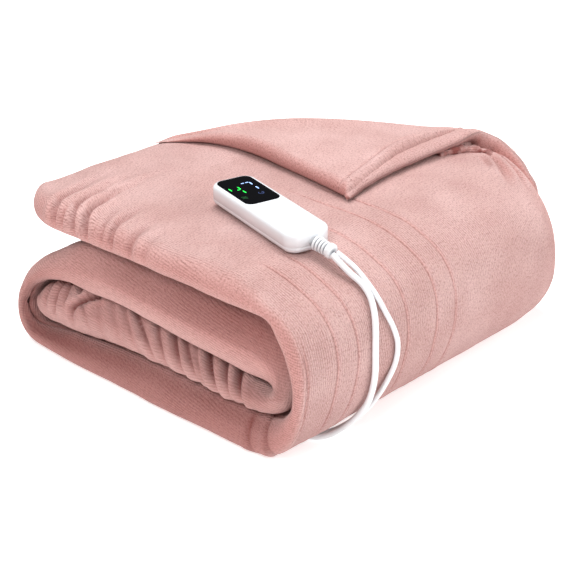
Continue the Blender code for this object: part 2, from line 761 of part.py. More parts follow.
def coil(parts, helpers, surfaces):
    """The coiled lead as one turned ring, and the tie that holds it."""
    inner, outer = COIL_RADIUS - COIL_HALF_WIDTH, COIL_RADIUS + COIL_HALF_WIDTH
    high, round_off = COIL_HEIGHT, MAINS_DIAMETER / 3
    profile = [
        (inner, round_off),
        (inner + round_off, 0),
        (outer - round_off, 0),
        (outer, round_off),
        (outer, high - round_off),
        (outer - round_off, high),
        (inner + round_off, high),
        (inner, high - round_off),
        (inner, round_off),
    ]
    ring = turned("mains_lead_coil", profile, parts, sides=40)
    ring.location = (*COIL_CENTRE, COIL_FLOOR)
    finish(ring, surfaces["white"])
    clear = (2 * COIL_HALF_WIDTH + 2 * TIE_ROOM, high + TIE_ROOM)
    size = (clear[0] + 2 * TIE_THICK, clear[1] + 2 * TIE_THICK, TIE_WIDTH)
    tie = rounded_block("coil_tie", size, round_off + TIE_THICK, 0, parts)
    hole = rounded_block(
        "tie_hole", (*clear, 2 * TIE_WIDTH), round_off, 0, helpers
    )
    hole.parent = tie
    boolean(tie, hole, "DIFFERENCE")
    tie.rotation_euler = (math.pi / 2, 0, TIE_ANGLE)
    tie.location = (
        COIL_CENTRE[0] + COIL_RADIUS * math.cos(TIE_ANGLE),
        COIL_CENTRE[1] + COIL_RADIUS * math.sin(TIE_ANGLE),
        COIL_FLOOR + high / 2,
    )
    finish(tie, surfaces["black"])


def plug_and_connector(parts, helpers, surfaces):
    """The two-blade mains plug, and the connector with the socket block it is pushed into."""
    plug = rounded_block("mains_plug", PLUG_SIZE, 0.0045, 0.0030, parts)
    plug.location = PLUG_CENTRE
    back = PLUG_SIZE[0] / 2
    relief = turned("plug_relief", relief_profile(PLUG_RELIEF, PLUG_RELIEF_RADIUS, 3), helpers)
    aim(relief, (0.0010 - back, 0, 0), (-1, 0, 0))
    relief.parent = plug
    boolean(plug, relief, "UNION")
    finish(plug, surfaces["white"])
    for side, name in ((-1, "left"), (1, "right")):
        blade = rounded_block(f"plug_blade_{name}", BLADE_SIZE, 0.0006, 0.0003, parts)
        blade.location = (
            PLUG_CENTRE[0] + back + SOLID_GAP + BLADE_SIZE[0] / 2,
            PLUG_CENTRE[1] + side * BLADE_SPACING / 2,
            PLUG_CENTRE[2],
        )
        finish(blade, surfaces["metal"])
    socket = rounded_block("blanket_socket", SOCKET_SIZE, 0.0040, 0.0025, parts)
    socket.location = SOCKET_CENTRE
    finish(socket, surfaces["white"])
    connector = rounded_block("lead_connector", CONNECTOR_SIZE, 0.0035, 0.0022, parts)
    gap = (SOCKET_SIZE[0] + CONNECTOR_SIZE[0]) / 2 + SOLID_GAP
    connector.location = (SOCKET_CENTRE[0] - gap, *SOCKET_CENTRE[1:])
    relief = turned(
        "connector_relief",
        relief_profile(CONNECTOR_RELIEF, CONNECTOR_RELIEF_RADIUS, 3),
        helpers,
    )
    aim(relief, (0.0010 - CONNECTOR_SIZE[0] / 2, 0, 0), (-1, 0, 0))
    relief.parent = connector
    boolean(connector, relief, "UNION")
    finish(connector, surfaces["white"])


def main():
    for obj in list(bpy.data.objects):
        bpy.data.objects.remove(obj, do_unlink=True)
    parts = collection("heated_blanket")
    helpers = collection("helpers")
    surfaces = {
        "white": material("white_plastic", (0.86, 0.86, 0.86), 0.30),
        "black": material("black_gloss", (0.010, 0.010, 0.012), 0.12),
        "metal": material("plated_metal", (0.62, 0.60, 0.56), 0.25, 1.0),
    }
    blanket(parts, helpers)
    handset(parts, helpers, surfaces)
    coil(parts, helpers, surfaces)
    plug_and_connector(parts, helpers, surfaces)
    lead("mains_lead", MAINS_ROUTE, MAINS_DIAMETER, parts, surfaces["white"])
    lead("mains_lead_tail", TAIL_ROUTE, MAINS_DIAMETER, parts, surfaces["white"])
    lead("blanket_lead", BLANKET_ROUTE, BLANKET_DIAMETER, parts, surfaces["white"])
    for obj in helpers.objects:
        obj.hide_render = True
        obj.display_type = "WIRE"


main()
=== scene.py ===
"""A folded electric heated blanket with its handset, leads, coil, plug and connector, dressed over
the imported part. The blanket is one strip of three plies that winds from the top layer over the front,
under the packet, up the back and in again; its rear corner is turned back over the top."""

import math

import bmesh
import bpy
import numpy as np
from mathutils import Matrix, Vector, noise


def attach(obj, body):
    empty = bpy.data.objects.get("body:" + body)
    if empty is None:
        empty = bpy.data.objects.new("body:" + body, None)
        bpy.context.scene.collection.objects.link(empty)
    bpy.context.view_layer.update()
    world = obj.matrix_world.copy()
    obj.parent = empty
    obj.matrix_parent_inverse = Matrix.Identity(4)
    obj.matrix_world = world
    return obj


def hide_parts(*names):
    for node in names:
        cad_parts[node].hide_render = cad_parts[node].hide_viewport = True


MM = 0.001

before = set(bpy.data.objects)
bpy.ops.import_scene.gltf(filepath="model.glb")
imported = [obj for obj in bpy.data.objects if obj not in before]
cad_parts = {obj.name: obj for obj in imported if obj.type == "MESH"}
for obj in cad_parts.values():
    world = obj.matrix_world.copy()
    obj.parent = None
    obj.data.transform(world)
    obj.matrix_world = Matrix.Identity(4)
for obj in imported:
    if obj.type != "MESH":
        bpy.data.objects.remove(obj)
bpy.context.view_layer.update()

# ---- camera
LOOK_AT = Vector((-0.0475, -0.024, 0.075))
TURN, RISE = math.radians(-46), math.radians(26.5)
DISTANCE, LENS = 1.5, 94.24


def photo_camera():
    """The camera of the photo's view: turned about the packet and raised, at a set distance."""
    flat = math.cos(RISE)
    back = Vector((math.sin(TURN) * flat, -math.cos(TURN) * flat, math.sin(RISE)))
    data = bpy.data.cameras.new("photo_camera")
    data.lens, data.sensor_width, data.clip_end = LENS, 36.0, 20.0
    camera = link("photo_camera", data)
    camera.location = LOOK_AT + back * DISTANCE
    camera.rotation_euler = back.to_track_quat("Z", "Y").to_euler()
    bpy.context.scene.camera = camera


# ---- curves and meshes
def smooth_curve(rows, places):
    """A smooth curve through unevenly spaced rows, read at places counted in rows. Its spacing is
    that of the first columns, up to four of them."""
    rows = np.asarray(rows, float)
    chord = np.maximum(np.linalg.norm(np.diff(rows[:, :4], axis=0), axis=1), 1e-9)
    at = np.concatenate([[0.0], np.cumsum(chord)])
    slope = np.gradient(rows, at, axis=0, edge_order=1)
    places = np.clip(np.asarray(places, float), 0, len(rows) - 1)
    leg = np.minimum(places.astype(int), len(rows) - 2)
    u, h = (places - leg)[:, None], chord[leg][:, None]
    a, b = rows[leg], rows[leg + 1]
    sa, sb = slope[leg] * h, slope[leg + 1] * h
    return (
        a * (2 * u**3 - 3 * u**2 + 1)
        + sa * (u**3 - 2 * u**2 + u)
        + b * (3 * u**2 - 2 * u**3)
        + sb * (u**3 - u**2)
    )


def run_along(points):
    """How far along a line of points each of them lies."""
    return np.concatenate([[0], np.cumsum(np.linalg.norm(np.diff(points, axis=0), axis=1))])


def even_points(route, step):
    """Points a step apart along a smooth curve through a route's points."""
    rows = np.array(route, float)
    fine = smooth_curve(np.hstack([rows, rows[:, :1]]), np.linspace(0, len(rows) - 1, 16 * len(rows)))
    along = run_along(fine[:, :3])
    places = np.linspace(0, along[-1], max(3, round(along[-1] / step)) + 1)
    return np.stack([np.interp(places, along, fine[:, k]) for k in range(3)], axis=1)


def link(name, data):
    obj = bpy.data.objects.new(name, data)
    bpy.context.scene.collection.objects.link(obj)
    return obj


def dress(obj, surface, smooth=True):
    obj.data.materials.clear()
    obj.data.materials.append(surface)
    if smooth and obj.type == "MESH":
        obj.data.shade_smooth()
    return obj


def bm_piece(name, mesh, surface, smooth=True):
    """A mesh object from a bmesh, with its normals outwards."""
    bmesh.ops.recalc_face_normals(mesh, faces=mesh.faces)
    data = bpy.data.meshes.new(name)
    mesh.to_mesh(data)
    mesh.free()
    return dress(link(name, data), surface, smooth)


def ring_faces(mesh, low, high):
    """Faces between two rings of a bmesh's vertices. Where a ring is one vertex, they have three
    corners."""
    for k in range(len(low)):
        n = (k + 1) % len(low)
        mesh.faces.new(list(dict.fromkeys((low[k], low[n], high[n], high[k]))))


def seat(piece, slot, *solids):
    """Fixes a piece to the part, in the place of its solids if it has any."""
    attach(piece, "root")
    if solids:
        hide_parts(*solids)
    return piece


def grid_faces(rows, around):
    """Faces between neighbouring loops of a grid."""
    i, j = np.arange(rows - 1)[:, None] * around, np.arange(around)[None, :]
    k = (j + 1) % around
    return np.stack([i + j, i + k, i + around + k, i + around + j], axis=-1).reshape(-1, 4)


def cap_faces(points, first, start, turn):
    """Closes a thin loop with triangles between its two sides. first is its lowest vertex number."""
    count = len(points)
    one = [(start + k) % count for k in range((turn - start) % count + 1)]
    other = [(start - 1 - k) % count for k in range(count - len(one))]
    faces, i, j = [], 0, 0
    while i + 1 < len(one) or j + 1 < len(other):
        far = [math.inf, math.inf]
        if i + 1 < len(one):
            far[0] = np.linalg.norm(points[one[i + 1]] - points[other[j]])
        if j + 1 < len(other):
            far[1] = np.linalg.norm(points[one[i]] - points[other[j + 1]])
        if far[0] <= far[1]:
            faces.append((one[i], one[i + 1], other[j]))
            i += 1
        else:
            faces.append((one[i], other[j + 1], other[j]))
            j += 1
    return [tuple(first + v for v in f) for f in faces]


def lofted(name, grid, surface, start, turn, uv, marks):
    """A closed mesh from a grid of loops, its two ends closed between start and turn. uv and each of
    the marks, numbers that the material reads by their names, have one row for each point."""
    rows, around = grid.shape[:2]
    faces = [tuple(f) for f in grid_faces(rows, around)]
    faces += cap_faces(grid[0], 0, start, turn)
    faces += cap_faces(grid[-1], (rows - 1) * around, start, turn)
    data = bpy.data.meshes.new(name)
    data.from_pydata([tuple(v) for v in grid.reshape(-1, 3)], [], faces)
    corner = np.empty(len(data.loops), np.int32)
    data.loops.foreach_get("vertex_index", corner)
    data.uv_layers.new(name="cloth").data.foreach_set("uv", uv.reshape(-1, 2)[corner].ravel())
    for title, values in marks.items():
        data.attributes.new(title, "FLOAT", "POINT").data.foreach_set("value", values.ravel())
    data.validate()
    mesh = bmesh.new()
    mesh.from_mesh(data)
    bmesh.ops.recalc_face_normals(mesh, faces=mesh.faces)
    if mesh.calc_volume(signed=True) < 0:
        bmesh.ops.reverse_faces(mesh, faces=mesh.faces)
    mesh.to_mesh(data)
    mesh.free()
    return dress(link(name, data), surface)


def soft_step(t):
    t = np.clip(t, 0, 1)
    return t * t * (3 - 2 * t)


def bell(t):
    return np.exp(-(t**2))


def dent(off, share, away=1.9, wide=1.0):
    """A groove with a raised edge beside it, of the given share, place and width."""
    return bell(off) - share * bell((off - away) / wide)


def round_edge(x, reach, low, high, degrees):
    """Points round an edge at x that lies between two heights, at angles from -90 to 90 degrees."""
    middle, half = (low + high) / 2, (high - low) / 2
    return [(x - reach * (1 - math.cos(a)), middle + half * math.sin(a)) for a in np.radians(degrees)]


def waves(points, size, seed):
    """Smooth noise from -1 to 1 at an array of points, with the given size of its lumps."""
    flat = points.reshape(-1, 3) / size + seed
    found = np.array([noise.noise(Vector(p)) for p in flat])
    return found.reshape(points.shape[:-1])


# ---- materials
class Surface:
    """A material and its shader, with short calls for the nodes that feed it."""

    def __init__(self, name, **sockets):
        self.made = bpy.data.materials.new(name)
        self.made.use_nodes = True
        self.nodes = self.made.node_tree.nodes
        self.links = self.made.node_tree.links
        self.shader = self.nodes["Principled BSDF"]
        inputs = {socket.name.lower().replace(" ", "_"): socket for socket in self.shader.inputs}
        for title, value in sockets.items():
            inputs[title].default_value = (*value, 1) if isinstance(value, tuple) else value

    def node(self, kind, inputs=None, **settings):
        node = self.nodes.new(kind)
        for key, value in settings.items():
            setattr(node, key, value)
        for key, value in (inputs or {}).items():
            if isinstance(value, bpy.types.NodeSocket):
                self.links.new(value, node.inputs[key])
            else:
                node.inputs[key].default_value = value
        return node

    def math(self, operation, *inputs, clamp=False):
        inputs = dict(enumerate(inputs))
        return self.node("ShaderNodeMath", inputs, operation=operation, use_clamp=clamp).outputs[0]

    def add(self, a, b):
        return self.math("ADD", a, b)

    def times(self, a, b, clamp=False):
        return self.math("MULTIPLY", a, b, clamp=clamp)

    def scaled(self, value, by, plus, clamp=False):
        return self.math("MULTIPLY_ADD", value, by, plus, clamp=clamp)

    def split(self, vector):
        return self.node("ShaderNodeSeparateXYZ", {"Vector": vector}).outputs

    def mark(self, title):
        return self.node("ShaderNodeAttribute", attribute_name=title).outputs["Fac"]

    def place(self):
        return self.node("ShaderNodeTexCoord").outputs["Object"]

    def noise(self, where, scale, detail=2.0, rough=0.5):
        inputs = {"Vector": where, "Scale": scale, "Detail": detail, "Roughness": rough}
        return self.node("ShaderNodeTexNoise", inputs).outputs["Fac"]

    def ribs(self, across):
        """Waves from 0 to 1, a rib's pitch apart."""
        return self.scaled(self.math("SINE", self.times(across, 2 * math.pi / RIB_PITCH)), 0.5, 0.5)

    def ramp(self, factor, *stops):
        ramp = self.node("ShaderNodeValToRGB", {"Fac": factor})
        for element, (place, colour) in zip(ramp.color_ramp.elements, stops):
            element.position = place
            element.color = (*colour, 1)
        return ramp.outputs["Color"]

    def mix(self, factor, a, b, blend="MIX"):
        node = self.node("ShaderNodeMix", {}, data_type="RGBA", blend_type=blend)
        for key, value in (("Factor", factor), ("A", a), ("B", b)):
            socket = [s for s in node.inputs if s.name == key and s.enabled][0]
            if isinstance(value, bpy.types.NodeSocket):
                self.links.new(value, socket)
            else:
                socket.default_value = (*value, 1) if isinstance(value, tuple) else value
        return [s for s in node.outputs if s.enabled][0]

    def feed(self, socket, value):
        self.links.new(value, self.shader.inputs[socket])

    def tint(self, factor, low, high):
        """A base colour between two."""
        self.feed("Base Color", self.ramp(factor, (0.3, low), (0.7, high)))

    def bump(self, height, distance, strength=1.0):
        inputs = {"Height": height, "Distance": distance, "Strength": strength}
        self.feed("Normal", self.node("ShaderNodeBump", inputs).outputs["Normal"])


RIB_PITCH = 0.0025
PINK = (0.640, 0.405, 0.380)
PINK_LIGHT = (0.735, 0.502, 0.480)
# painted shade: the deeper red of surfaces that face sideways
PINK_SIDE_SHADE = (0.715, 0.352, 0.320)
# painted light on lips, and painted shade in hollows
PINK_PAINTED_LIGHT = (0.800, 0.530, 0.500)
PINK_PAINTED_SHADE = (0.238, 0.050, 0.041)
SEAM_COLOUR = (0.200, 0.070, 0.062)
# painted shade down between the nap's knots and ribs
NAP_SHADE = (0.44, 0.27, 0.25)


def plush(name, ribs=0.55):
    """Short-pile fleece: fine ribs along the strip, mottled nap, and a soft sheen. Surfaces that face
    sideways take a deeper red, painted shade on the sides. The seam mark draws the sewn lines, and the
    painted shading mark paints shade in hollows, or painted light on lips where it is below nought."""
    s = Surface(
        name,
        roughness=0.95,
        specular_ior_level=0.10,
        sheen_weight=0.14,
        sheen_roughness=0.45,
        sheen_tint=(1.0, 0.90, 0.88),
    )
    uv = s.node("ShaderNodeUVMap", uv_map="cloth").outputs["UV"]
    place = s.place()
    # ribs: waves across the strip that wander a little
    rib = s.ribs(s.add(s.split(uv)["X"], s.times(s.noise(uv, 38.0), 0.0035)))
    # on the folded edges the ribs run slantwise down the side
    at = s.split(place)
    slant = s.add(s.times(at["Y"], 0.16), s.times(at["Z"], -0.985))
    side_rib = s.ribs(s.add(slant, s.times(s.noise(place, 26.0), 0.004)))
    normal = s.split(s.node("ShaderNodeNewGeometry").outputs["Normal"])
    sideways = s.math("POWER", s.math("ABSOLUTE", normal["X"]), 1.5)
    turned = s.scaled(sideways, 2.5, -0.6, clamp=True)
    rib = s.add(s.times(rib, s.scaled(turned, -1.0, 1.0)), s.times(side_rib, turned))
    # they are clear in some patches and faint in others
    clear = s.scaled(s.noise(place, 22.0), 1.9, -0.40, clamp=True)
    clear = s.times(clear, s.scaled(turned, -0.10, 1.0))
    # knots of pile along each rib
    stretch = s.node("ShaderNodeMapping", {"Vector": uv, "Scale": (1.0, 0.62, 1.0)}).outputs["Vector"]
    knots = s.noise(stretch, 640.0, 2.0, 0.7)
    pile = s.noise(place, 1400.0, 2.0, 0.7)
    painted_shading = s.mark("painted_shading")
    calm = s.times(painted_shading, -2.2, clamp=True)
    height = s.times(rib, s.scaled(turned, -0.6 * ribs, ribs))
    height = s.add(height, s.times(knots, s.scaled(calm, -0.6, 1.5)))
    s.bump(s.add(height, s.times(pile, 0.8)), 0.00095)
    # colour: the nap lies light or dark in patches, with small shaded gaps between its knots
    patch = s.noise(place, 16.0, 3.0, 0.55)
    nap = s.ramp(patch, (0.34, PINK), (0.68, PINK_LIGHT))
    # painted shade on surfaces that face sideways
    nap = s.mix(s.times(sideways, 0.85), nap, PINK_SIDE_SHADE)
    # painted light on lips and painted shade in hollows, from the painted shading mark
    nap = s.mix(s.times(painted_shading, -1.0, clamp=True), nap, PINK_PAINTED_LIGHT)
    nap = s.mix(s.times(painted_shading, 1.0, clamp=True), nap, PINK_PAINTED_SHADE)
    gap = s.ramp(knots, (0.33, (1.0, 1.0, 1.0)), (0.53, (0.0, 0.0, 0.0)))
    colour = s.mix(s.times(gap, 0.50), nap, NAP_SHADE, "MULTIPLY")
    fine = s.ramp(pile, (0.30, (0.86, 0.80, 0.79)), (0.66, (1.06, 1.07, 1.07)))
    colour = s.mix(0.9, colour, fine, "MULTIPLY")
    # painted shade in the rib valleys
    valley = s.times(s.math("POWER", s.scaled(rib, -1.0, 1.0), 2.0), clear)
    colour = s.mix(s.times(valley, 0.90 * ribs), colour, NAP_SHADE, "MULTIPLY")
    seam = s.math("POWER", s.mark("seam"), 2.0)
    s.feed("Base Color", s.mix(s.times(seam, 0.60), colour, SEAM_COLOUR))
    return s.made


def thread():
    s = Surface("pink_thread", roughness=0.7)
    s.tint(s.noise(s.place(), 2400.0, 1.0), (0.22, 0.095, 0.085), (0.34, 0.155, 0.140))
    return s.made


def white_shell():
    """Glossy moulded plastic with a very faint orange peel."""
    s = Surface("white_gloss_shell", roughness=0.22, coat_weight=0.35, coat_roughness=0.08)
    place = s.place()
    s.tint(s.noise(place, 30.0), (0.845, 0.875, 0.905), (0.87, 0.895, 0.92))
    s.feed("Roughness", s.scaled(s.noise(place, 90.0, 3.0), 0.10, 0.17))
    s.bump(s.noise(place, 700.0, 1.0), 0.00004, 0.5)
    return s.made


def white_flex():
    """Soft white lead sheath and mouldings, with painted shade where the painted shading mark is set.
    """
    s = Surface("white_flex", roughness=0.38, coat_weight=0.2, coat_roughness=0.2)
    place = s.place()
    sheath = s.ramp(s.noise(place, 60.0), (0.3, (0.82, 0.83, 0.85)), (0.7, (0.88, 0.885, 0.90)))
    s.feed("Base Color", s.mix(s.mark("painted_shading"), sheath, (0.16, 0.17, 0.20)))
    s.bump(s.noise(place, 900.0), 0.00006, 0.5)
    return s.made


def display_glass():
    black = (0.003, 0.003, 0.004)
    s = Surface("display_glass", base_color=black, roughness=0.10, specular_ior_level=0.03)
    s.feed("Roughness", s.scaled(s.noise(s.place(), 120.0, 3.0), 0.08, 0.03))
    return s.made


def lamp_colour(name, colour, strength):
    """A lit mark under the glass."""
    lit = {"emission_color": colour, "emission_strength": strength}
    return Surface(name, roughness=0.4, base_color=colour, **lit).made


def tie_strap():
    s = Surface("tie_strap", roughness=0.6)
    weave = s.noise(s.place(), 1200.0)
    s.tint(weave, (0.012, 0.012, 0.013), (0.035, 0.035, 0.037))
    s.bump(weave, 0.00015, 0.7)
    return s.made


def plated():
    s = Surface("plated_blade", metallic=1.0, roughness=0.25)
    place = s.node("ShaderNodeMapping", {"Vector": s.place(), "Scale": (0.08, 1, 1)}).outputs["Vector"]
    brush = s.noise(place, 2500.0)
    s.tint(brush, (0.60, 0.58, 0.53), (0.74, 0.72, 0.68))
    s.feed("Roughness", s.scaled(brush, 0.2, 0.18))
    return s.made


photo_camera()
FLEECE = plush("dusty_pink_fleece")
HEM_FLEECE = plush("dusty_pink_hem", 0.15)
THREAD = thread()
SHELL, FLEX, GLASS = white_shell(), white_flex(), display_glass()
STRAP, BLADE = tie_strap(), plated()

# ---- the two leads, mm
MAINS_DIAMETER, BLANKET_DIAMETER = 0.006, 0.005
MAINS_ROUTE = (
    (-119.4, -149.9, 176), (-118.5, -158.5, 170.4), (-114.5, -167.5, 161.6), (-111.5, -178, 154.6),
    (-112, -188.3, 146.2), (-115.5, -197.2, 134), (-119.5, -202.9, 117.6), (-121.3, -204.9, 98),
    (-119.5, -203.8, 78), (-116.5, -199, 58), (-115.5, -191.8, 38), (-118.5, -181.8, 21),
    (-127, -172, 8.6), (-140, -165.5, 3.5), (-152, -154.5, 3.2), (-157.6, -137, 3.2),
    (-158, -90, 3.2), (-158, -20, 3.2), (-158, 60, 3.2), (-158, 130, 3.2), (-158, 175, 3.2),
    (-155.5, 197, 3.2), (-147, 212.5, 3.2), (-132, 221.5, 3.3), (-115, 223.3, 4), (-93.4, 223.3, 4.5),
)
BLANKET_ROUTE = (
    (-113.5, -149.9, 176.2), (-109.6, -158, 170.2), (-105, -167, 161.6), (-104.8, -178, 154),
    (-105, -189, 145.4), (-102, -198.3, 130.4), (-95.5, -203.8, 112.4), (-90.5, -204.7, 96),
    (-90, -202.6, 76), (-95.5, -198, 56.5), (-103.5, -190.4, 36.2), (-110, -179.4, 18.6),
    (-118.5, -168.6, 7.4), (-130.5, -162.5, 3.2), (-142.6, -155.6, 2.8), (-149.6, -144, 2.8),
    (-151.6, -128, 2.8), (-151.6, -90, 2.8), (-151.6, -20, 2.8), (-151.6, 60, 2.8),
    (-151.6, 130, 2.8), (-151.2, 172, 2.8), (-147, 193, 2.8), (-135, 206.5, 2.8), (-115, 211.4, 2.8),
    (-90, 212, 3.2), (-55, 211.2, 10), (-28, 210, 23), (-6, 209.7, 32.5), (3.4, 209.6, 34.6),
)
TAIL_ROUTE = ((-22, 243.9, 9.7), (-12.5, 246, 8.6), (-3.1, 246.4, 7.9))
COIL_CENTRE = (-70.0, 263.0)
COIL_RINGS = (39.7, 33.5, 27.3, 27.3, 33.5, 39.7)
COIL_LOW, COIL_HIGH = 4.6, 10.9
# degrees: between points, over which a turn moves to the next ring, and past the last full turn
COIL_STEP, COIL_SHIFT, COIL_LEAVES = 15, 70, 25


def coil_points():
    """The coil's turns seen from above, anticlockwise from its front: three inwards on the floor and
    three outwards on top of them. Each turn moves to the next ring in its last part."""
    points = []
    rings = (*COIL_RINGS, COIL_RINGS[-1])
    for angle in range(0, 360 * len(COIL_RINGS) + COIL_LEAVES, COIL_STEP):
        turn, part = divmod(angle, 360)
        move = float(soft_step((part - 360 + COIL_SHIFT) / COIL_SHIFT))
        turn = min(turn, len(COIL_RINGS) - 1)
        radius = rings[turn] * (1 - move) + rings[turn + 1] * move
        rise = 0.0 if turn < 2 else (move if turn == 2 else 1.0)
        a = math.radians(angle - 90)
        x, y = COIL_CENTRE[0] + radius * math.cos(a), COIL_CENTRE[1] + radius * math.sin(a)
        points.append((x, y, COIL_LOW + (COIL_HIGH - COIL_LOW) * rise))
    return tuple(points)


def lead(name, route, diameter, solids):
    """A lead along its route, in mm, in the place of its solids."""
    curve = bpy.data.curves.new(name, "CURVE")
    curve.dimensions = "3D"
    curve.bevel_depth = diameter / 2
    curve.bevel_resolution = 4
    curve.use_fill_caps = True
    points = even_points(route, 3.0) * MM
    spline = curve.splines.new("POLY")
    spline.points.add(len(points) - 1)
    for place, point in zip(spline.points, points):
        place.co = (*point, 1)
    piece = seat(dress(link(name, curve), FLEX), "white_cord", *solids)


lead(
    "mains_flex",
    MAINS_ROUTE + coil_points() + TAIL_ROUTE,
    MAINS_DIAMETER,
    ("mains_lead", "mains_lead_coil", "mains_lead_tail"),
)
lead(
    "blanket_flex",
    BLANKET_ROUTE,
    BLANKET_DIAMETER,
    ("blanket_lead",),
)

# ---- the strip of three plies, mm
# One row for each place along the strip, from the free end of the top layer to the end of the core:
# outer y, outer z, inner y, inner z, left edge x, depth of the rounded left edge, and the step
# between sections that starts here.
PACKET_RIGHT = 0.2175
STRIP = (
    # the top layer, from its rounded end forwards
    (205, 158, 205, 139.5, -213.5, 13, 2.2), (190, 163.5, 190, 135, -213.5, 14, 2.8),
    (150, 167, 150, 135.5, -213.5, 15, 2.8), (100, 168.5, 100, 137.5, -213.5, 16, 2.8),
    (40, 168.5, 40, 138.5, -213.5, 17, 3), (-30, 169.5, -30, 139.5, -213.5, 18, 4.4),
    (-88, 170.5, -87, 140.5, -213.5, 18, 4), (-120, 169.5, -124, 142, -213.5, 15, 4),
    # over the front
    (-150, 163, -156, 145.5, -213.5, 10, 3), (-178, 150, -164, 139.5, -213.5, 7, 3),
    (-193, 134, -169.5, 127, -213.5, 6, 3.4), (-200, 116, -175.5, 113, -213.5, 5.5, 4),
    (-202, 97, -182, 97, -213, 5.5, 4), (-200, 76, -184.5, 78, -212.5, 5.5, 4),
    (-194, 53, -179, 61, -212, 7, 4), (-181, 27, -166, 48, -212, 10, 4),
    (-160, 7, -150, 40.5, -212.5, 15, 4.5), (-138, 0, -130, 40, -215.5, 18, 4.5),
    # under the packet
    (-90, 0, -90, 41, -219.5, 19, 9), (-30, 0, -30, 40, -221.5, 19, 9),
    (40, 0, 40, 36.5, -223, 18, 9), (110, 0, 105, 30, -223.5, 17, 7),
    (155, 0.5, 145, 27, -223, 15, 5),
    # up the back
    (184, 5, 168, 26, -221, 9, 4.5), (198, 17, 182, 31, -219, 7, 4.5),
    (202, 32, 187, 41, -217.5, 6, 4.5), (198, 52, 183, 52, -216.5, 7, 4.5),
    (185.5, 78.5, 171, 67.5, -216.5, 9, 4.5), (164.5, 99.5, 149, 80, -216.5, 12, 4.5),
    (130.5, 119.5, 113, 85.5, -216, 16, 4.5),
    # forwards again, under the top layer
    (101, 132.5, 89, 83, -216, 19, 4.5), (60, 134.5, 55, 85.5, -216, 20, 5),
    (0, 135, 0, 83, -216, 20, 5), (-60, 136.5, -60, 79.5, -215.5, 20, 5),
    (-110, 137.5, -103, 77, -214, 20, 5),
    # the small turn inside the front
    (-140, 135.5, -128, 76, -211, 18, 4.5), (-161, 125.5, -140, 75, -207.5, 17, 4.5),
    (-173, 111, -149, 73.2, -206.5, 17, 4.5), (-179, 94, -153, 71, -207, 17, 4.5),
    (-180, 76, -152, 69, -208, 17, 4.5), (-173, 58.5, -144, 68.6, -209.5, 17, 4),
    (-152, 46, -129, 70.5, -211, 17, 3.4),
    # the core, backwards to its rounded end
    (-120, 44, -110, 73.5, -212, 16, 3), (-60, 43.5, -60, 76.5, -213.5, 16, 3),
    (0, 42.5, 0, 80.5, -214.5, 16, 3), (60, 39, 55, 82.5, -215, 16, 3),
    (110, 33, 100, 79, -215, 15, 2.6), (150, 30.5, 138, 74.5, -215, 14, 2.2),
    (172, 37, 162, 63, -215, 11, 2),
)
# how far from its ends the strip rounds off, and how near to a sewn line the seam mark reaches
END_ROUND, ON_LINE = 0.013, 0.0002
# how far the core's left edge draws in and its rear bulges, each with its reach from the core's end
CORE_DRAWN, CORE_BULGE = (0.010, 0.02), (0.013, 0.060)
# how much thinner the outer ply's hem gets where the strip turns at the front and at the back, and
# how far in from the left edge
FRONT_LIP, BACK_LIP = (0.36, 0.034), (0.56, 0.026)
# where the top layer ends under the turned-back corner's crease
UNDER_CREASE = 0.010
CHANNEL_LINES = (-0.1675, -0.1405, -0.0725, -0.0305, -0.0025)
# a sewn line's dip: depth and width; and the puff on each side of it: height, place and width
CHANNEL_DIP, CHANNEL_PUFF = (0.0015, 0.0009), (0.0006, 0.0065, 0.0045)
# the same for the hem's seam, whose puff is on its outer side only
HEM_DIP, HEM_PUFF = (0.0024, 0.0014), (0.0012, 0.0046, 0.0030)
CHANNEL_SIDES = (-0.0045, -0.0022, -0.0008, 0.0, 0.0008, 0.0022, 0.0045)
FACE_STEP = 0.0056
HEM_SEAM = -0.2045
HEM_ROUND, PLY_GAP, FOLD_BACK = 0.0085, 0.0016, 0.0030
# points round the left edge and along a gap between plies, and rounds of smoothing along the strip
ROLL_STEPS, SLIT_STEPS, SMOOTH_ROUNDS = 17, 12, 6

# The groove that the cloth makes over the two leads under the packet.
GROOVE_MIDDLE, GROOVE_HALF, GROOVE_SLOPE, GROOVE_HEIGHT = -0.1548, 0.0085, 0.0130, 0.0078

# Drawn-in cloth at the top layer's left edge. Columns: y at the edge, how far the fold sweeps to the
# rear as it runs in, its reach, its depth and its width, mm.
TOP_GATHERS = (
    (131, 30, 110, 5.6, 5.6), (117, 15, 46, 4.6, 4.6), (99, 41, 130, 8, 5.4), (90, 18, 34, 3, 3.4),
    (82, 40, 150, 10, 5), (70, 26, 52, 4.6, 4), (60, 28, 70, 6.6, 5), (47, 25, 78, 8, 6),
    (34, 20, 50, 4.4, 5), (22, 13, 56, 5.6, 6.6), (2, 8, 46, 2.2, 7.6),
)
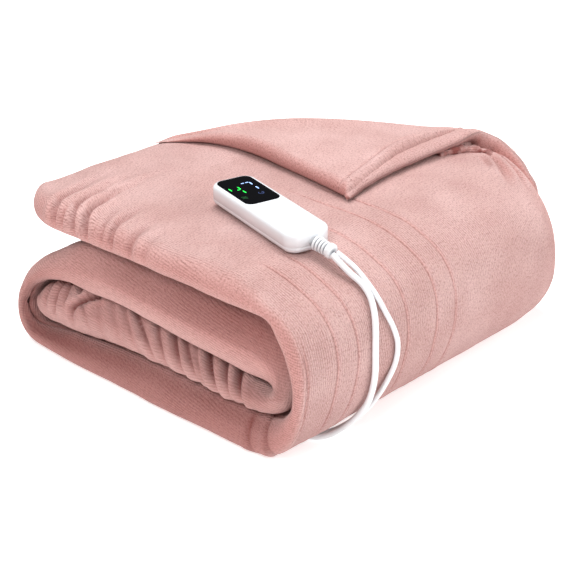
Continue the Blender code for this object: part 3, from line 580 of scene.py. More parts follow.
# Folds down the core's side. Columns: y where the fold is at the middle of the side, its lean, its
# bend, its depth at the top, its depth lower down and its width, mm.
CORE_FOLDS = (
    (157, 0.05, 0, 2, 1.2, 3.4), (143.5, 0, -2, 4, 2.8, 3.8), (129, 0.12, 2, 3.2, 1.8, 4.2),
    (117, -0.60, -18, 10.5, 2.2, 5), (96, 0.90, 4, 4.5, 0.5, 3.6), (74, 0.55, 0, 1.4, 0.8, 6.5),
    (47, 0.60, 0, 1.2, 0.9, 6.5), (24, 0.70, 0, 1.8, 0.8, 5), (2, 0.90, 2, 4.8, 1.6, 5),
    (-16, 0.45, 2, 3.4, 1.8, 3.8), (-38, 0.60, -1, 5.2, 2.2, 5.2), (-57, 0.80, 2, 4, 2.2, 4.2),
    (-69, 0.80, 0, 2.2, 1.4, 3.2), (-83, 0.80, -1, 6.8, 2.4, 4.8), (-103, 0.60, 2, 5, 2.8, 4.2),
    (-118, 0.40, 3, 8, 2.6, 4.6), (-134, 0.25, 0, 3.4, 2.4, 4.2), (-147, 0.10, 0, 3.6, 2, 4.4),
)
CORE_MIDDLE_Z = 0.060
# how far the folds of the core's front part sweep back as they run up over its edge
UPPER_SWEEP = 0.0085

TAPER_LENGTH, TAPER_LOW, TAPER_RISE, TAPER_TOP = 0.095, 0.045, 2.05, 0.150
SINK_SHARE, LIFT_MOST = 0.15, 0.009
CORNER_START, CORNER_REACH, CORNER_PULL = 0.128, 0.080, 0.056

# The turned-back corner: y, its folded left edge, the crease on its right and its top, mm.
FLAP = (
    (-74, -13, 216, 188), (-62, -11, 216, 189.5), (-16, -3, 190, 188.5), (30, 3, 160, 188),
    (72, 8, 126, 188), (98, 8, 102, 187), (142, 1, 56, 180.5), (168, -11, 28, 173),
    (186, -21, 10, 168), (206, -33, -8, 166),
)
FLAP_END = 0.1975
# The side of each layer. Columns: row of the strip's table, how far its top is drawn in behind its
# lower edge, mm, how much painted shade darkens its top, under the layer above, and how much painted
# light brightens its lower edge. Below nought, the first is painted light and the second painted shade.
SIDES = (
    (0, 3, -0.04, 0.30), (6, 3, -0.02, 0.40), (9, 1, 0.05, 0.15), (13, 0, 0, 0),
    (17, 9, 0.80, -0.34), (20, 11, 0.76, -0.38), (23, 4, 0.50, -0.20), (25, 3, -0.26, 0.10),
    (28, 2, -0.40, 0.40), (30, 9, 0.08, 0.70), (31, 12, 0.38, 0.95), (33, 15, 0.78, 1.05),
    (35, 15, 1.00, 0.85), (38, 10, 0.66, 0.35), (41, 7, 0.42, 0.40), (43, 11, 0.30, 0.85),
    (45, 10, 0.08, 0.90), (47, 9, -0.05, 0.90), (49, 6, -0.10, 0.60),
)
# Soft creases down the side of the lowest layer near the front. Columns: y on the table, lean, depth
# and width, mm.
FRONT_CREASES = ((-163, 0.32, 3.0, 2.4), (-150, -0.10, -1.2, 4.0), (-136, 0.12, 2.0, 3.0))
# Soft hollows below the turned-back corner's right end. Columns: start x and y, end x and y, depth and
# width, mm, before the packet's right end is drawn in.
PUCKERS = (
    (194, -106, 150, -152, 5.4, 5.6), (201, -126, 168, -168, 5, 4.8), (183, -98, 158, -122, 3.4, 4.6),
    (206, -148, 188, -182, 2.8, 4.8),
)


def strip_sections():
    """The strip's sections in metres: points of its outer and of its inner line, its left edges, how
    deep they are rounded, and the columns of the table of sides."""
    rows = np.array(STRIP, float)
    places = [0.0]
    for i in range(len(rows) - 1):
        middle = (rows[i : i + 2, :2] + rows[i : i + 2, 2:4]) / 2
        count = max(1, round(float(np.linalg.norm(middle[1] - middle[0])) / rows[i, 6]))
        places += [i + (k + 1) / count for k in range(count)]
    read = smooth_curve(rows[:, :6], places) * MM
    for _ in range(SMOOTH_ROUNDS):
        read[1:-1] = 0.25 * read[:-2] + 0.5 * read[1:-1] + 0.25 * read[2:]
    read[:, 1] = np.maximum(read[:, 1], 0.0)
    at, *columns = zip(*SIDES)
    sides = [np.interp(places, at, column) for column in columns]
    return read[:, :2], read[:, 2:4], read[:, 4], read[:, 5], sides


def corner_pull(y):
    """How far the top layer's left edge draws in at its rounded rear corner."""
    t = np.clip((y - CORNER_START) / CORNER_REACH, 0, 0.97)
    return CORNER_PULL * (1 - np.sqrt(1 - t**2))


def crease_x(y):
    """Where the turned-back corner's crease lies at y. It counts as far off in front of the corner."""
    table = np.array(FLAP, float) * MM
    return np.interp(y, table[:, 0], table[:, 2], left=1.0)


def face_places():
    """Places across the outer face, from right to left: closer together at the channel lines."""
    places = {round(line + side, 6) for line in CHANNEL_LINES for side in CHANNEL_SIDES}
    places |= {round(HEM_SEAM + side, 6) for side in CHANNEL_SIDES[1:-1]}
    x = -0.2120
    while x < 0.2170:
        step = FACE_STEP * (0.45 if x < -0.135 or x > 0.140 else 1.0)
        if min(abs(x - p) for p in places) > 0.62 * step:
            places.add(round(float(x), 6))
        x += step
    return np.array(sorted(places, reverse=True))


def hold(xs, low, high, room=0.00035):
    """Places from right to left, held between high and low with a little room left between them."""
    count = len(xs)
    room = min(room, 0.9 * (high - low) / (count + 1))
    held = np.minimum(xs, high - room * np.arange(1, count + 1))
    return np.maximum(held, low + room * np.arange(count, 0, -1))


FACE = face_places()
# the points of a section that can be seen: its outer face and its rounded left edge
SHOWN = len(FACE) + ROLL_STEPS
EDGE_STEP = (0.003, 0.007, 0.012, 0.018, 0.025, 0.033, 0.043)


def section(left, right, roll, thick):
    """A section across the strip, folded in three: x and w of its loop, w from 1 on its outer face
    to -1 on its inner one. Both gaps between its plies are open, one at the right, one at the left
    on the inner face."""
    near = HEM_ROUND * min(1.0, thick / 0.024)
    gap = min(PLY_GAP, 0.055 * thick) / thick
    fold = right - FOLD_BACK
    low, high = left + roll, fold - near
    loop = [(x, 1) for x in hold(FACE, low, right - near)]
    loop += round_edge(left, -roll, -1, 1, np.linspace(90, -90, ROLL_STEPS))
    # the gap under the middle ply, then the inner ply's free edge
    upper, lower = -1 / 3 + gap, -1 / 3 - gap
    inside = np.linspace(low + 0.004, high - 0.004, SLIT_STEPS)
    loop += [(low + 0.0015, -0.93)] + [(x, upper) for x in inside]
    loop += [(x, lower) for x in inside[::-1]]
    loop += [(low + 0.0032, 0.6 * lower - 0.4), (low + 0.0034, -0.90)]
    # the inner face: close together near the left edge
    loop += [(low + 0.0025 + step, -1) for step in EDGE_STEP]
    loop += [(x, -1) for x in np.linspace(low + 0.055, high, 18)]
    loop += round_edge(fold, near, -1, 1 / 3 - gap, (-60, -30, 0, 30, 60))
    # the gap under the outer ply, then that ply's hem
    inside = np.linspace(high, low, SLIT_STEPS)
    loop += [(x, 1 / 3 - gap) for x in inside] + [(x, 1 / 3 + gap) for x in inside[::-1]]
    loop += round_edge(right, near, 1 / 3 + gap, 1, (-90, -55, -20, 20, 55, 82))
    return np.array(loop)


def taper(x):
    """How much of the drawing-in at the packet's right end there is at x."""
    return np.clip((x - (PACKET_RIGHT - TAPER_LENGTH)) / TAPER_LENGTH, 0, 1) ** 2.4


def packet_form(points):
    """Draws in the packet's right end, the upper part most, and lifts its lower edge a little."""
    x, y, z = np.moveaxis(points, -1, 0)
    t = taper(x)
    pull = t * (TAPER_LOW + TAPER_RISE * np.clip(z, 0, TAPER_TOP))
    lift = LIFT_MOST * t * np.clip(1 - z / 0.170, 0, 1)
    return np.stack([x, y * (1 - pull), z * (1 - SINK_SHARE * pull) + lift], axis=-1)


def grid_normals(grid):
    """Normals of a grid of loops, pointing away from the cloth."""
    along = np.gradient(grid, axis=0)
    around = np.roll(grid, -1, axis=1) - np.roll(grid, 1, axis=1)
    normal = np.cross(around, along)
    return normal / np.maximum(np.linalg.norm(normal, axis=-1, keepdims=True), 1e-12)


def pushed(grid, by):
    """A grid moved along its normals."""
    return grid + grid_normals(grid) * np.asarray(by)[..., None]


def gathered(y, from_left):
    """How deep the drawn-in cloth lies on the top layer, at y and a distance from its left edge."""
    reach_in = np.maximum(from_left, 0)
    depth = np.zeros_like(y)
    for start, sweep, reach, deep, wide in TOP_GATHERS:
        line = start * MM + sweep * MM * (1 - np.exp(-reach_in / 0.050))
        line = line + 0.0011 * np.sin(reach_in / 0.0085 + start) * np.clip(reach_in / 0.03, 0, 1)
        off = (y - line) / (wide * MM)
        fade = soft_step(1 - reach_in / (reach * MM))
        depth += deep * MM * fade * (dent(off, 0.42, 1.75, 1.15) - 0.30 * bell((off + 1.9) / 1.2))
    return depth


def wound_cloth():
    """The strip's plain sections: their points, their flat cloth coordinates, across and along, and
    for each point its distance from the left edge, its w, its section and the painted shade of its
    side, painted light where it is below nought. Then the sections at the front, at the back turn and
    at the core's front."""
    outer_line, inner_line, lefts, rolls, (leans, painted_shades, lights) = strip_sections()
    outer_y = outer_line[:, 0]
    order = np.arange(len(outer_y))
    front = int(np.argmin(outer_y))
    core = int(np.argmin(np.where(order > len(order) // 2, outer_y, 1)))
    back_turn = int(np.argmax(np.where((order > front) & (order < core), outer_y, -1)))
    along = run_along((outer_line + inner_line) / 2)
    outer_run, inner_run = run_along(outer_line), run_along(inner_line)
    grid, cloth, info = [], [], []
    for i, (outer, inner) in enumerate(zip(outer_line, inner_line)):
        to_end = along[-1] - along[i]
        rounded = min(1, (min(along[i], to_end) + 0.0004) / END_ROUND)
        half = (outer - inner) / 2 * math.sqrt(1 - (1 - rounded) ** 2)
        thick = 2 * float(np.linalg.norm(half))
        left, right = lefts[i], PACKET_RIGHT
        if i < front and outer[1] > 0.150:
            left = left + corner_pull(outer[0])
            right = min(right, crease_x(outer[0]) - UNDER_CREASE)
        left = left + CORE_DRAWN[0] * max(0, 1 - to_end / CORE_DRAWN[1]) ** 2
        x, w = section(left, right, rolls[i], thick).T
        # the outer ply's hem is a thin lip where the strip comes over the front
        lip = soft_step((outer[1] - 0.045) / 0.03) * soft_step((0.150 - outer[1]) / 0.03)
        lip *= float(front - 60 < i < front + 60) * np.exp(-np.maximum(x - left, 0) / FRONT_LIP[1])
        w = w + FRONT_LIP[0] * lip * np.clip(0.25 - w, 0, 1)
        # so is the turn at the back, where the core's end fills it
        lip = bell((i - back_turn) / 9) * np.exp(-np.maximum(x - left, 0) / BACK_LIP[1])
        w = w + BACK_LIP[0] * lip * np.clip(0.25 - w, 0, 1)
        y, z = (outer + inner)[:, None] / 2 + w * half[:, None]
        if i > core:
            bulge = CORE_BULGE[0] * soft_step(1 - to_end / CORE_BULGE[1])
            y = y + bulge * soft_step(1 - (x - left) / 0.045)
        # the side leans: drawn in at its top, proud at its lower edge
        upright = half[1] / (np.linalg.norm(half) + 1e-9)
        drawn_in = np.clip((1 + w * upright) / 2, 0, 1) * abs(upright)
        lean = leans[i] * MM * drawn_in
        x = x + lean * soft_step(1 - (x - left) / 0.055)
        on_side = soft_step(1 - (x - left - lean) / max(rolls[i], 0.010))
        # painted shade at the top of each side, under the layer above, and painted light on its lower
        # lip
        light = lights[i] * (1 - drawn_in) ** 2 * (w * upright < 0)
        shade = on_side * (painted_shades[i] * drawn_in**1.3 - light)
        grid.append(np.stack([x, y, z], axis=-1))
        # flat coordinates: across from the right, round the left edge and back, and along the strip
        step = np.hypot(np.diff(x), np.diff(w) * thick / 2)
        across = PACKET_RIGHT - x[0] + np.concatenate([[0], np.cumsum(step)])
        run = (outer_run[i] + inner_run[i]) / 2 + w * (outer_run[i] - inner_run[i]) / 2
        cloth.append(np.stack([across, run], axis=-1))
        info.append(np.stack([x - left, w, np.full_like(x, i), shade], axis=-1))
    return np.array(grid), np.array(cloth), np.array(info), (front, back_turn, core)


def core_folds(y, z, w, side):
    """The folds down the core's side: how far they push the cloth in, and the painted shade in their
    valleys, with painted light on the ridges beside them.
    """
    depth, valleys = np.zeros_like(y), np.zeros_like(y)
    height = np.clip((z - 0.038) / 0.040, 0, 1)
    rise = z - CORE_MIDDLE_Z
    for start, lean, bend, deep_top, deep_low, wide in CORE_FOLDS:
        line = start * MM + lean * rise + bend * MM * (rise / 0.020) ** 2
        line = line + UPPER_SWEEP * (start < 60) * (np.maximum(rise, 0) / 0.020) ** 2
        off = (y - line) / (wide * MM)
        deep = (deep_low * soft_step(height / 0.30) + (deep_top - deep_low) * height**1.5) * MM
        deep = deep * side * (0.40 + 0.60 * soft_step((0.97 - w) / 0.35))
        valleys += deep / 0.0040 * (bell(off / 0.85) - 0.5 * bell((off - 1.9) / 1.1))
        depth += 1.35 * deep * (dent(off, 0.45, 1.8, 1.2) - 0.30 * bell((off + 1.8) / 1.2))
    return depth, 0.66 * np.clip(valleys, -0.6, 1.3)


def strip_mesh():
    """The strip's grid of points with its folds, seams and hems, its flat cloth coordinates, across
    and along, and its marks."""
    grid, cloth, info, (front, back_turn, core) = wound_cloth()
    from_left, w, row, painted_shading = np.moveaxis(info, -1, 0)
    x, y, z = np.moveaxis(grid, -1, 0)
    loop = np.arange(grid.shape[1])[None, :]
    face, shown = (loop < len(FACE)) * 1.0, (loop < SHOWN) * 1.0

    def near_left(reach):
        return soft_step(1 - from_left / reach)

    # the top layer: drawn in along its rounded end and left edge
    top = (row < front) * soft_step((z - 0.118) / 0.02) * shown * soft_step((w + 0.86) / 0.95)
    gathers = gathered(y, from_left) * top
    # painted shade in the gathers' valleys and painted light on their ridges
    painted_shading = painted_shading + np.clip(gathers / 0.0085, -0.42, 0.34) * near_left(0.110)
    push = 0.0016 * top * near_left(0.075) * waves(grid, 0.030, 9.4) - gathers
    # folds down the side of the core
    under = near_left(0.030) * (w < -0.85)
    side = soft_step((row - core - 6) / 14) * near_left(0.060) * np.maximum(shown, under)
    depth, dark = core_folds(y, z, w, side)
    push += 0.0012 * side * shown * waves(grid * (0.5, 1, 0.7), 0.016, 2.2) - depth
    # the back turn's inner side is crumpled where it holds the core
    inner_turn = bell((row - back_turn) / 22) * near_left(0.060) * (w < 0.2)
    push += 0.0026 * inner_turn * waves(grid * (0.35, 1, 1), 0.011, 3.1)
    # painted shade in the core's folds, painted light on their ridges, and painted shade on the back
    # turn's crumpled inner side
    painted_shading = painted_shading + dark + 0.60 * inner_turn * soft_step((0.2 - w) / 0.6)
    # creases where the lowest layer turns up to the front
    low_side = (row > front) * (row < back_turn) * near_left(0.040) * shown * soft_step(z / 0.006)
    for start, lean, deep, wide in FRONT_CREASES:
        off = (y - start * MM - lean * z) / (wide * MM)
        push -= deep * MM * low_side * dent(off, 0.5, 1.9, 1.3)
        # painted shade in the creases
        painted_shading = painted_shading + 0.35 * low_side * bell(off) * (deep > 0)
    # painted shade on the front, low down and near its left edge
    nose = face * (row > front - 40) * (row < front + 60) * (y < -0.12)
    painted_shading = painted_shading + nose * (0.17 * soft_step((0.10 - z) / 0.08) + 0.05 * near_left(0.12))
    # the front falls back a little below the shoulder at its right end
    right_end = face * (row > front - 40) * (row < front + 30) * soft_step((x - 0.165) / 0.045)
    push -= 0.0058 * right_end * bell((z - 0.118) / 0.030)
    # sewn lines, and the hem's seam
    ends_at, fades = np.where(x < -0.120, -0.125, -0.075), np.where(x < -0.120, 0.030, 0.095)
    quilted = face * (1 - soft_step((y - ends_at) / fades) * (row < front))
    seam = np.zeros_like(x)
    (dip, narrow), (puff, beside, wide) = CHANNEL_DIP, CHANNEL_PUFF
    for line in CHANNEL_LINES:
        off = np.abs(x - line)
        push += quilted * (puff * bell((off - beside) / wide) - dip * np.exp(-off / narrow))
        seam += quilted * (off < ON_LINE)
    hemmed = face * soft_step((0.152 - z) / 0.04) * (row < front + 46)
    off = x - HEM_SEAM
    seam += hemmed * (np.abs(off) < ON_LINE)
    # the hem between that seam and the edge is plump and a little puckered
    (dip, narrow), (puff, beside, wide) = HEM_DIP, HEM_PUFF
    puff = puff * (1 + waves(grid * (0.4, 1, 1), 0.0065, 7.7))
    push += hemmed * (puff * bell((off + beside) / wide) - dip * np.exp(-np.abs(off) / narrow))
    # hollows where the shoulder is pulled by the turned-back corner
    for x0, y0, x1, y1, deep, wide in np.array(PUCKERS) * MM:
        run_x, run_y = x1 - x0, y1 - y0
        span = math.hypot(run_x, run_y)
        t = ((x - x0) * run_x + (y - y0) * run_y) / span**2
        off = np.abs((x - x0) * run_y - (y - y0) * run_x) / span / wide
        fade = soft_step((t + 0.15) / 0.3) * soft_step((1.15 - t) / 0.6) * face * (row < front + 4)
        push -= deep * fade * dent(off, 0.35)
        # painted shade in the hollows
        painted_shading = painted_shading + 0.30 * fade * bell(off)
    # the cloth is never quite flat
    push += (0.0011 * waves(grid, 0.060, 0.7) + 0.0005 * waves(grid, 0.022, 5.3)) * shown
    grid = pushed(grid, push)
    # the table below and the groove over the leads
    beside = np.abs(grid[..., 0] - GROOVE_MIDDLE) - GROOVE_HALF
    groove = GROOVE_HEIGHT * np.clip(1 - beside / GROOVE_SLOPE, 0, 1)
    floor = np.where((grid[..., 2] < 0.010) & (shown > 0), groove, 0.0)
    grid[..., 2] = np.maximum(grid[..., 2], floor)
    return packet_form(grid), cloth, {"seam": seam, "painted_shading": painted_shading}


strip, strip_cloth, strip_marks = strip_mesh()
blanket = lofted("folded_blanket", strip, FLEECE, 0, SHOWN, strip_cloth, strip_marks)
seat(blanket, "cloth", "blanket")

# ---- the turned-back corner
FLAP_REST = 0.0008
# points round its folded left edge, across its top and round the crease at its right
FLAP_EDGE, FLAP_ACROSS, FLAP_CREASE = 12, 72, 16
# rows behind its sewn hem, and the row that the hem's seam follows
FLAP_REAR, FLAP_SEAM = 52, 21
CREASE_RADIUS = 0.0235
# The front hem of the turned-back corner: its lower ply's outer line as it lies. Columns: x, y, mm.
HEM_FRONT = (
    (-15, -76), (-5, -73.2), (10, -69.5), (30, -66), (55, -63.2), (83, -61.8), (112, -61.2),
    (135, -61.8), (155, -64), (172, -66.5), (192, -70.5), (216, -78),
)
# How far the corner's own mesh starts behind that line, and how far the upper ply's hem lies behind
# it. Columns: x, start, upper hem, mm.
HEM_SET_BACK = (
    (-13, 1.5, 2.4), (13, 1.8, 2.9), (54, 4.5, 6.6), (97, 6.5, 14.4), (131, 6.5, 17.2),
    (163, 6.5, 20.5), (192, 6.5, 20.5), (216, 6.5, 17),
)
HEM_WIDE = 0.0122


def top_layer_height(y):
    """Upper and lower face of the top layer at y, before the packet's right end is drawn in."""
    rows = np.array(STRIP[:7], float)[::-1] * MM
    return np.interp(y, rows[:, 0], rows[:, 1]), np.interp(y, rows[:, 2], rows[:, 3])


def flap_table(y):
    """The turned-back corner's left edge, its crease and its top at y."""
    table = np.array(FLAP, float)
    fine = smooth_curve(table, np.linspace(0, len(table) - 1, 160)) * MM
    return [np.interp(y, fine[:, 0], fine[:, k]) for k in (1, 2, 3)]


def before_form(x, y):
    """y before the packet's right end is drawn in, for a place on its top."""
    return y / (1 - taper(x) * (TAPER_LOW + TAPER_RISE * TAPER_TOP))


def curve_at(table, x, column=1):
    """A table's column at places x, on a smooth curve through its rows."""
    rows = np.array(table, float)
    fine = smooth_curve(rows, np.linspace(0, len(rows) - 1, 12 * len(rows)))
    return np.interp(x / MM, fine[:, 0], fine[:, column]) * MM


def hem_profile(behind, back):
    """The corner's top near its front hem, as a share of its thickness, and a change in height."""
    low_ply = 0.60 * np.sqrt(1 - (1 - np.clip(behind / 0.0035, 0, 1)) ** 2)
    low_ply = low_ply + 0.10 * np.clip(behind / np.maximum(back, 1e-4), 0, 1)
    groove = 0.24 * np.exp(-np.abs(behind - back) / 0.0014) * (behind < back)
    t = np.clip((behind - back) / 0.0058, 0, 1)
    high_ply = 0.48 + 0.52 * np.sqrt(1 - (1 - t) ** 2)
    part = np.where(behind < back, np.minimum(low_ply, 1) - groove, high_ply)
    ridge = 0.0014 * bell((behind - back - 0.0062) / 0.0040) * (behind > back)
    stitch = -0.0022 * np.exp(-np.abs(behind - back - HEM_WIDE) / 0.0012)
    return part, ridge + stitch


def flap_mesh():
    """The turned-back corner's grid of points, its flat cloth coordinates and its seam."""
    share = (np.arange(FLAP_ACROSS) / (FLAP_ACROSS - 1)) ** 1.10
    across = -0.0035 + 0.196 * share
    set_back = curve_at(HEM_SET_BACK, across)
    front = before_form(across, curve_at(HEM_FRONT, across) + set_back)
    back = curve_at(HEM_SET_BACK, across, 2) - set_back
    rows = [front + back * f**0.85 for f in np.linspace(0, 1, 11)]
    hem = (0.4, 1.0, 1.8, 2.8, 4.2, 5.8, 7.4, 9.0, 10.4, 11.3, 12.2, 13.1, 14.2, 16.5)
    rows += [front + back + d * MM for d in hem]
    rear = (np.arange(FLAP_REAR) + 1) / FLAP_REAR
    rows += [rows[-1] + (FLAP_END - rows[-1]) * f**1.05 for f in rear]
    under = (np.arange(30) / 30)[::-1] ** 1.10
    grid, cloth = [], []
    for y in rows:
        behind = y - front
        left, crease, crown = flap_table(y)
        upper, lower = top_layer_height(y)
        floor = upper + FLAP_REST
        part, raise_by = hem_profile(behind, back)
        away = soft_step((FLAP_END - y) / 0.016)
        raise_by = raise_by * soft_step((crease - left) / 0.04)
        raise_by = raise_by + 0.0016 * np.sin(share * 5.0 + y * 22) * part
        radius = np.minimum(CREASE_RADIUS, 0.5 * (crease - left))
        inner = crease - radius
        roll = left + np.minimum(0.0095, 0.22 * (crease - left))
        thick = (crown - floor) * np.clip(part, 0.05, 1) * (0.12 + 0.88 * away)
        top = floor + thick + raise_by * away
        # the folded left edge from under to over, the top, the crease, and back underneath
        degrees = np.linspace(-90, 90, FLAP_EDGE + 1)[:-1]
        edge = round_edge(left[0], left[0] - roll[0], floor[0], top[0], degrees)
        loop = [(x, y[0], z) for x, z in edge] + list(zip(roll + (inner - roll) * share, y, top))
        lowest = lower[-1] + 0.0022
        degrees = np.linspace(90, -90, FLAP_CREASE + 1)[1:]
        edge = round_edge(crease[-1], radius[-1], lowest, top[-1], degrees)
        loop += [(x, y[-1], z) for x, z in edge]
        foot = inner[-1] - min(0.016, 0.25 * (inner[-1] - roll[-1]))
        loop += [(foot, y[-1], lowest + 0.002), (foot, y[-1], upper[-1] - 0.005)]
        lip = np.interp(under, share, np.clip(1 - behind / 0.006, 0, 1)) ** 2 * 0.004
        below = np.interp(under, share, floor) + lip
        loop += zip(roll[0] + (foot - roll[0]) * under, np.interp(under, share, y), below)
        loop = np.array(loop)
        grid.append(loop)
        cloth.append(np.stack([loop[:, 1], loop[0, 0] + run_along(loop[:, ::2])], axis=-1))
    seam = np.zeros((len(grid), len(grid[0])))
    seam[FLAP_SEAM, FLAP_EDGE // 2 : FLAP_EDGE + FLAP_ACROSS + 6] = 1.0
    return packet_form(np.array(grid)), np.array(cloth), {"seam": seam}


flap, flap_cloth, flap_marks = flap_mesh()
FLAP_FAR = FLAP_EDGE + FLAP_ACROSS + FLAP_CREASE
corner = lofted("turned_back_corner", flap, HEM_FLEECE, FLAP_EDGE, FLAP_FAR, flap_cloth, flap_marks)
seat(corner, "cloth", "blanket")

# ---- the lower ply's hem, over the shoulder
# Columns: x, y and z of the hem's outer line, its depth into the cloth and its half thickness, mm,
# and the way in which its depth lies.
LOWER_HEM = (
    (-12.5, -75, 175.4, 4, 1.4, 0.30, 0.95, 0.05), (-10, -74.4, 175.6, 8, 3, 0.20, 0.97, 0.05),
    (-3, -72.8, 176.2, 12, 4.8, 0.05, 1, 0.05), (10, -69.5, 177, 16, 6.2, 0, 1, 0.05),
    (30, -66, 177.4, 17, 6.3, 0, 1, 0.05), (55, -63.2, 177.6, 18, 6.4, 0, 1, 0.05),
    (83, -61.8, 177.8, 19, 6.5, 0, 1, 0.03), (112, -61.2, 178, 20, 6.6, 0, 1, 0),
    (135, -61.8, 178.4, 21, 6.7, 0, 1, -0.02), (155, -64, 179.8, 22, 7, -0.03, 0.99, -0.10),
    (172, -66.5, 182.4, 23, 7.3, -0.08, 0.96, -0.25),
    (187, -68.5, 185.6, 24, 7.5, -0.18, 0.85, -0.45),
    (199, -70.5, 185.4, 24, 7.5, -0.28, 0.62, -0.70),
    (208, -74.5, 181.2, 24, 7.5, -0.20, 0.42, -0.88),
    (213.5, -82.5, 177.2, 23, 7.5, -0.06, 0.34, -0.94), (216, -94, 170.6, 22, 7.4, 0, 0.38, -0.92),
    (217.5, -108, 161.4, 20, 6.8, 0, 0.50, -0.86), (217.5, -121, 149.2, 17, 5.8, 0, 0.62, -0.78),
    (217, -133, 135.6, 15, 5, 0, 0.72, -0.69), (213.5, -141.5, 119, 13, 4.4, -0.10, 0.88, -0.45),
    (211.5, -149, 102, 12, 3.8, -0.15, 0.96, -0.25), (211, -156, 84, 10, 3, -0.18, 0.98, -0.05),
    (211, -160.5, 68, 6, 1.6, -0.20, 0.98, 0),
)


def swept_hem(table, steps, around):
    """A flattened round swept along a hem's outer line: its grid and its flat cloth coordinates."""
    rows = smooth_curve(np.array(table, float), np.linspace(0, len(table) - 1, steps))
    line, depth, half = rows[:, :3] * MM, rows[:, 3, None] * MM, rows[:, 4, None] * MM
    tangent = np.gradient(line, axis=0)
    tangent /= np.linalg.norm(tangent, axis=1, keepdims=True)
    inward = rows[:, 5:8] - tangent * (rows[:, 5:8] * tangent).sum(1, keepdims=True)
    inward /= np.linalg.norm(inward, axis=1, keepdims=True)
    side = np.cross(tangent, inward)
    a = np.linspace(0, 2 * math.pi, around, endpoint=False)
    down, out = 0.5 * depth * (1 - np.cos(a)), half * np.sin(a)
    grid = line[:, None] + inward[:, None] * down[..., None] + side[:, None] * out[..., None]
    turn = np.cumsum(np.linalg.norm(np.diff(grid, axis=1, prepend=grid[:, -1:]), axis=-1), axis=1)
    return grid, np.stack([turn, run_along(line)[:, None] + 0 * turn], axis=-1)


HEM_STEPS, HEM_AROUND = 300, 28
hem_grid, hem_cloth = swept_hem(LOWER_HEM, HEM_STEPS, HEM_AROUND)
hem_grid = pushed(hem_grid, 0.0006 * waves(hem_grid, 0.012, 4.4))
# painted shade on the hem: a little all over, more on its underside, and less down the flank
below = np.clip(-np.sin(np.linspace(0, 2 * math.pi, HEM_AROUND, endpoint=False)), 0, 1)
on_flank = soft_step((np.linspace(0, 1, HEM_STEPS) - 0.50) / 0.15)
hem_marks = {"painted_shading": 0.08 + 0.36 * below[None, :] * (1 - 0.85 * on_flank[:, None])}
lower_hem = lofted("lower_hem", hem_grid, HEM_FLEECE, 0, HEM_AROUND // 2, hem_cloth, hem_marks)
seat(lower_hem, "cloth", "blanket")

# The crumpled cloth tucked in below that hem. Columns: x, y, z, depth and half thickness, mm, and the
# way in which its depth lies.
TUCK = (
    (146, -60.5, 169, 5, 2, 0, 1, -0.02), (157, -63.5, 169.8, 10, 4.4, 0, 1, -0.05),
    (169, -68.5, 170, 14, 5.6, 0, 1, -0.08), (181, -74.5, 169.4, 15, 6.2, -0.05, 0.98, -0.15),
    (191, -81.5, 167.6, 15, 6, -0.15, 0.95, -0.20), (199, -90.5, 164.4, 14, 5.4, -0.30, 0.90, -0.25),
    (205, -101, 159.5, 11, 4.4, -0.45, 0.80, -0.30), (208, -112, 153, 5, 2, -0.60, 0.70, -0.30),
)
TUCK_STEPS, TUCK_AROUND = 110, 32
tuck_grid, tuck_cloth = swept_hem(TUCK, TUCK_STEPS, TUCK_AROUND)
crumple = 0.0030 * waves(tuck_grid, 0.0085, 1.3) + 0.0013 * waves(tuck_grid, 0.0040, 6.1)
tuck_grid = pushed(tuck_grid, crumple)
# painted shade on the tucked cloth, deepest in its hollows
tuck_marks = {"painted_shading": np.clip(0.42 - crumple / 0.0026, 0, 0.85)}
tuck = lofted("tucked_cloth", tuck_grid, HEM_FLEECE, 0, TUCK_AROUND // 2, tuck_cloth, tuck_marks)
seat(tuck, "cloth", "blanket")

# ---- stitches
STITCH_PITCH, STITCH_LONG, THREAD_WIDE = 0.0030, 0.0021, 0.0007
# how far the lines of stitches lie above the strip and above the corner's hem, and how many sections
# past the back turn they run on
ABOVE_STRIP, ABOVE_HEM, PAST_BACK_TURN = 0.0001, 0.0002, 14


def stitch_nodes():
    """Geometry nodes that lay a stitch at every pitch along the lines of a wire mesh."""
    tree = bpy.data.node_groups.new("run_of_stitches", "GeometryNodeTree")
    tree.interface.new_socket(name="Lines", in_out="INPUT", socket_type="NodeSocketGeometry")
    tree.interface.new_socket(name="Stitches", in_out="OUTPUT", socket_type="NodeSocketGeometry")

    def new(kind, **inputs):
        node = tree.nodes.new(kind)
        for title, value in inputs.items():
            node.inputs[title].default_value = value
        return node

    given, made = new("NodeGroupInput"), new("NodeGroupOutput")
    curve, tangent = new("GeometryNodeMeshToCurve"), new("GeometryNodeInputTangent")
    spaced = new("GeometryNodeResampleCurve")
    spaced.mode = "LENGTH"
    spaced.inputs["Length"].default_value = STITCH_PITCH
    stitch = new("GeometryNodeMeshIcoSphere", Radius=0.5, Subdivisions=1)
    turn = new("FunctionNodeAlignRotationToVector")
    turn.axis = "X"
    placed = new("GeometryNodeInstanceOnPoints", Scale=(STITCH_LONG, THREAD_WIDE, THREAD_WIDE))
    real = new("GeometryNodeRealizeInstances")
    dressed = new("GeometryNodeSetMaterial", Material=THREAD)
    for start, output, end, socket in (
        (given, "Lines", curve, "Mesh"),
        (curve, "Curve", spaced, "Curve"),
        (tangent, "Tangent", turn, "Vector"),
        (spaced, "Curve", placed, "Points"),
        (stitch, "Mesh", placed, "Instance"),
        (turn, "Rotation", placed, "Rotation"),
        (placed, "Instances", real, "Geometry"),
        (real, "Geometry", dressed, "Geometry"),
        (dressed, "Geometry", made, "Stitches"),
    ):
        tree.links.new(start.outputs[output], end.inputs[socket])
    return tree


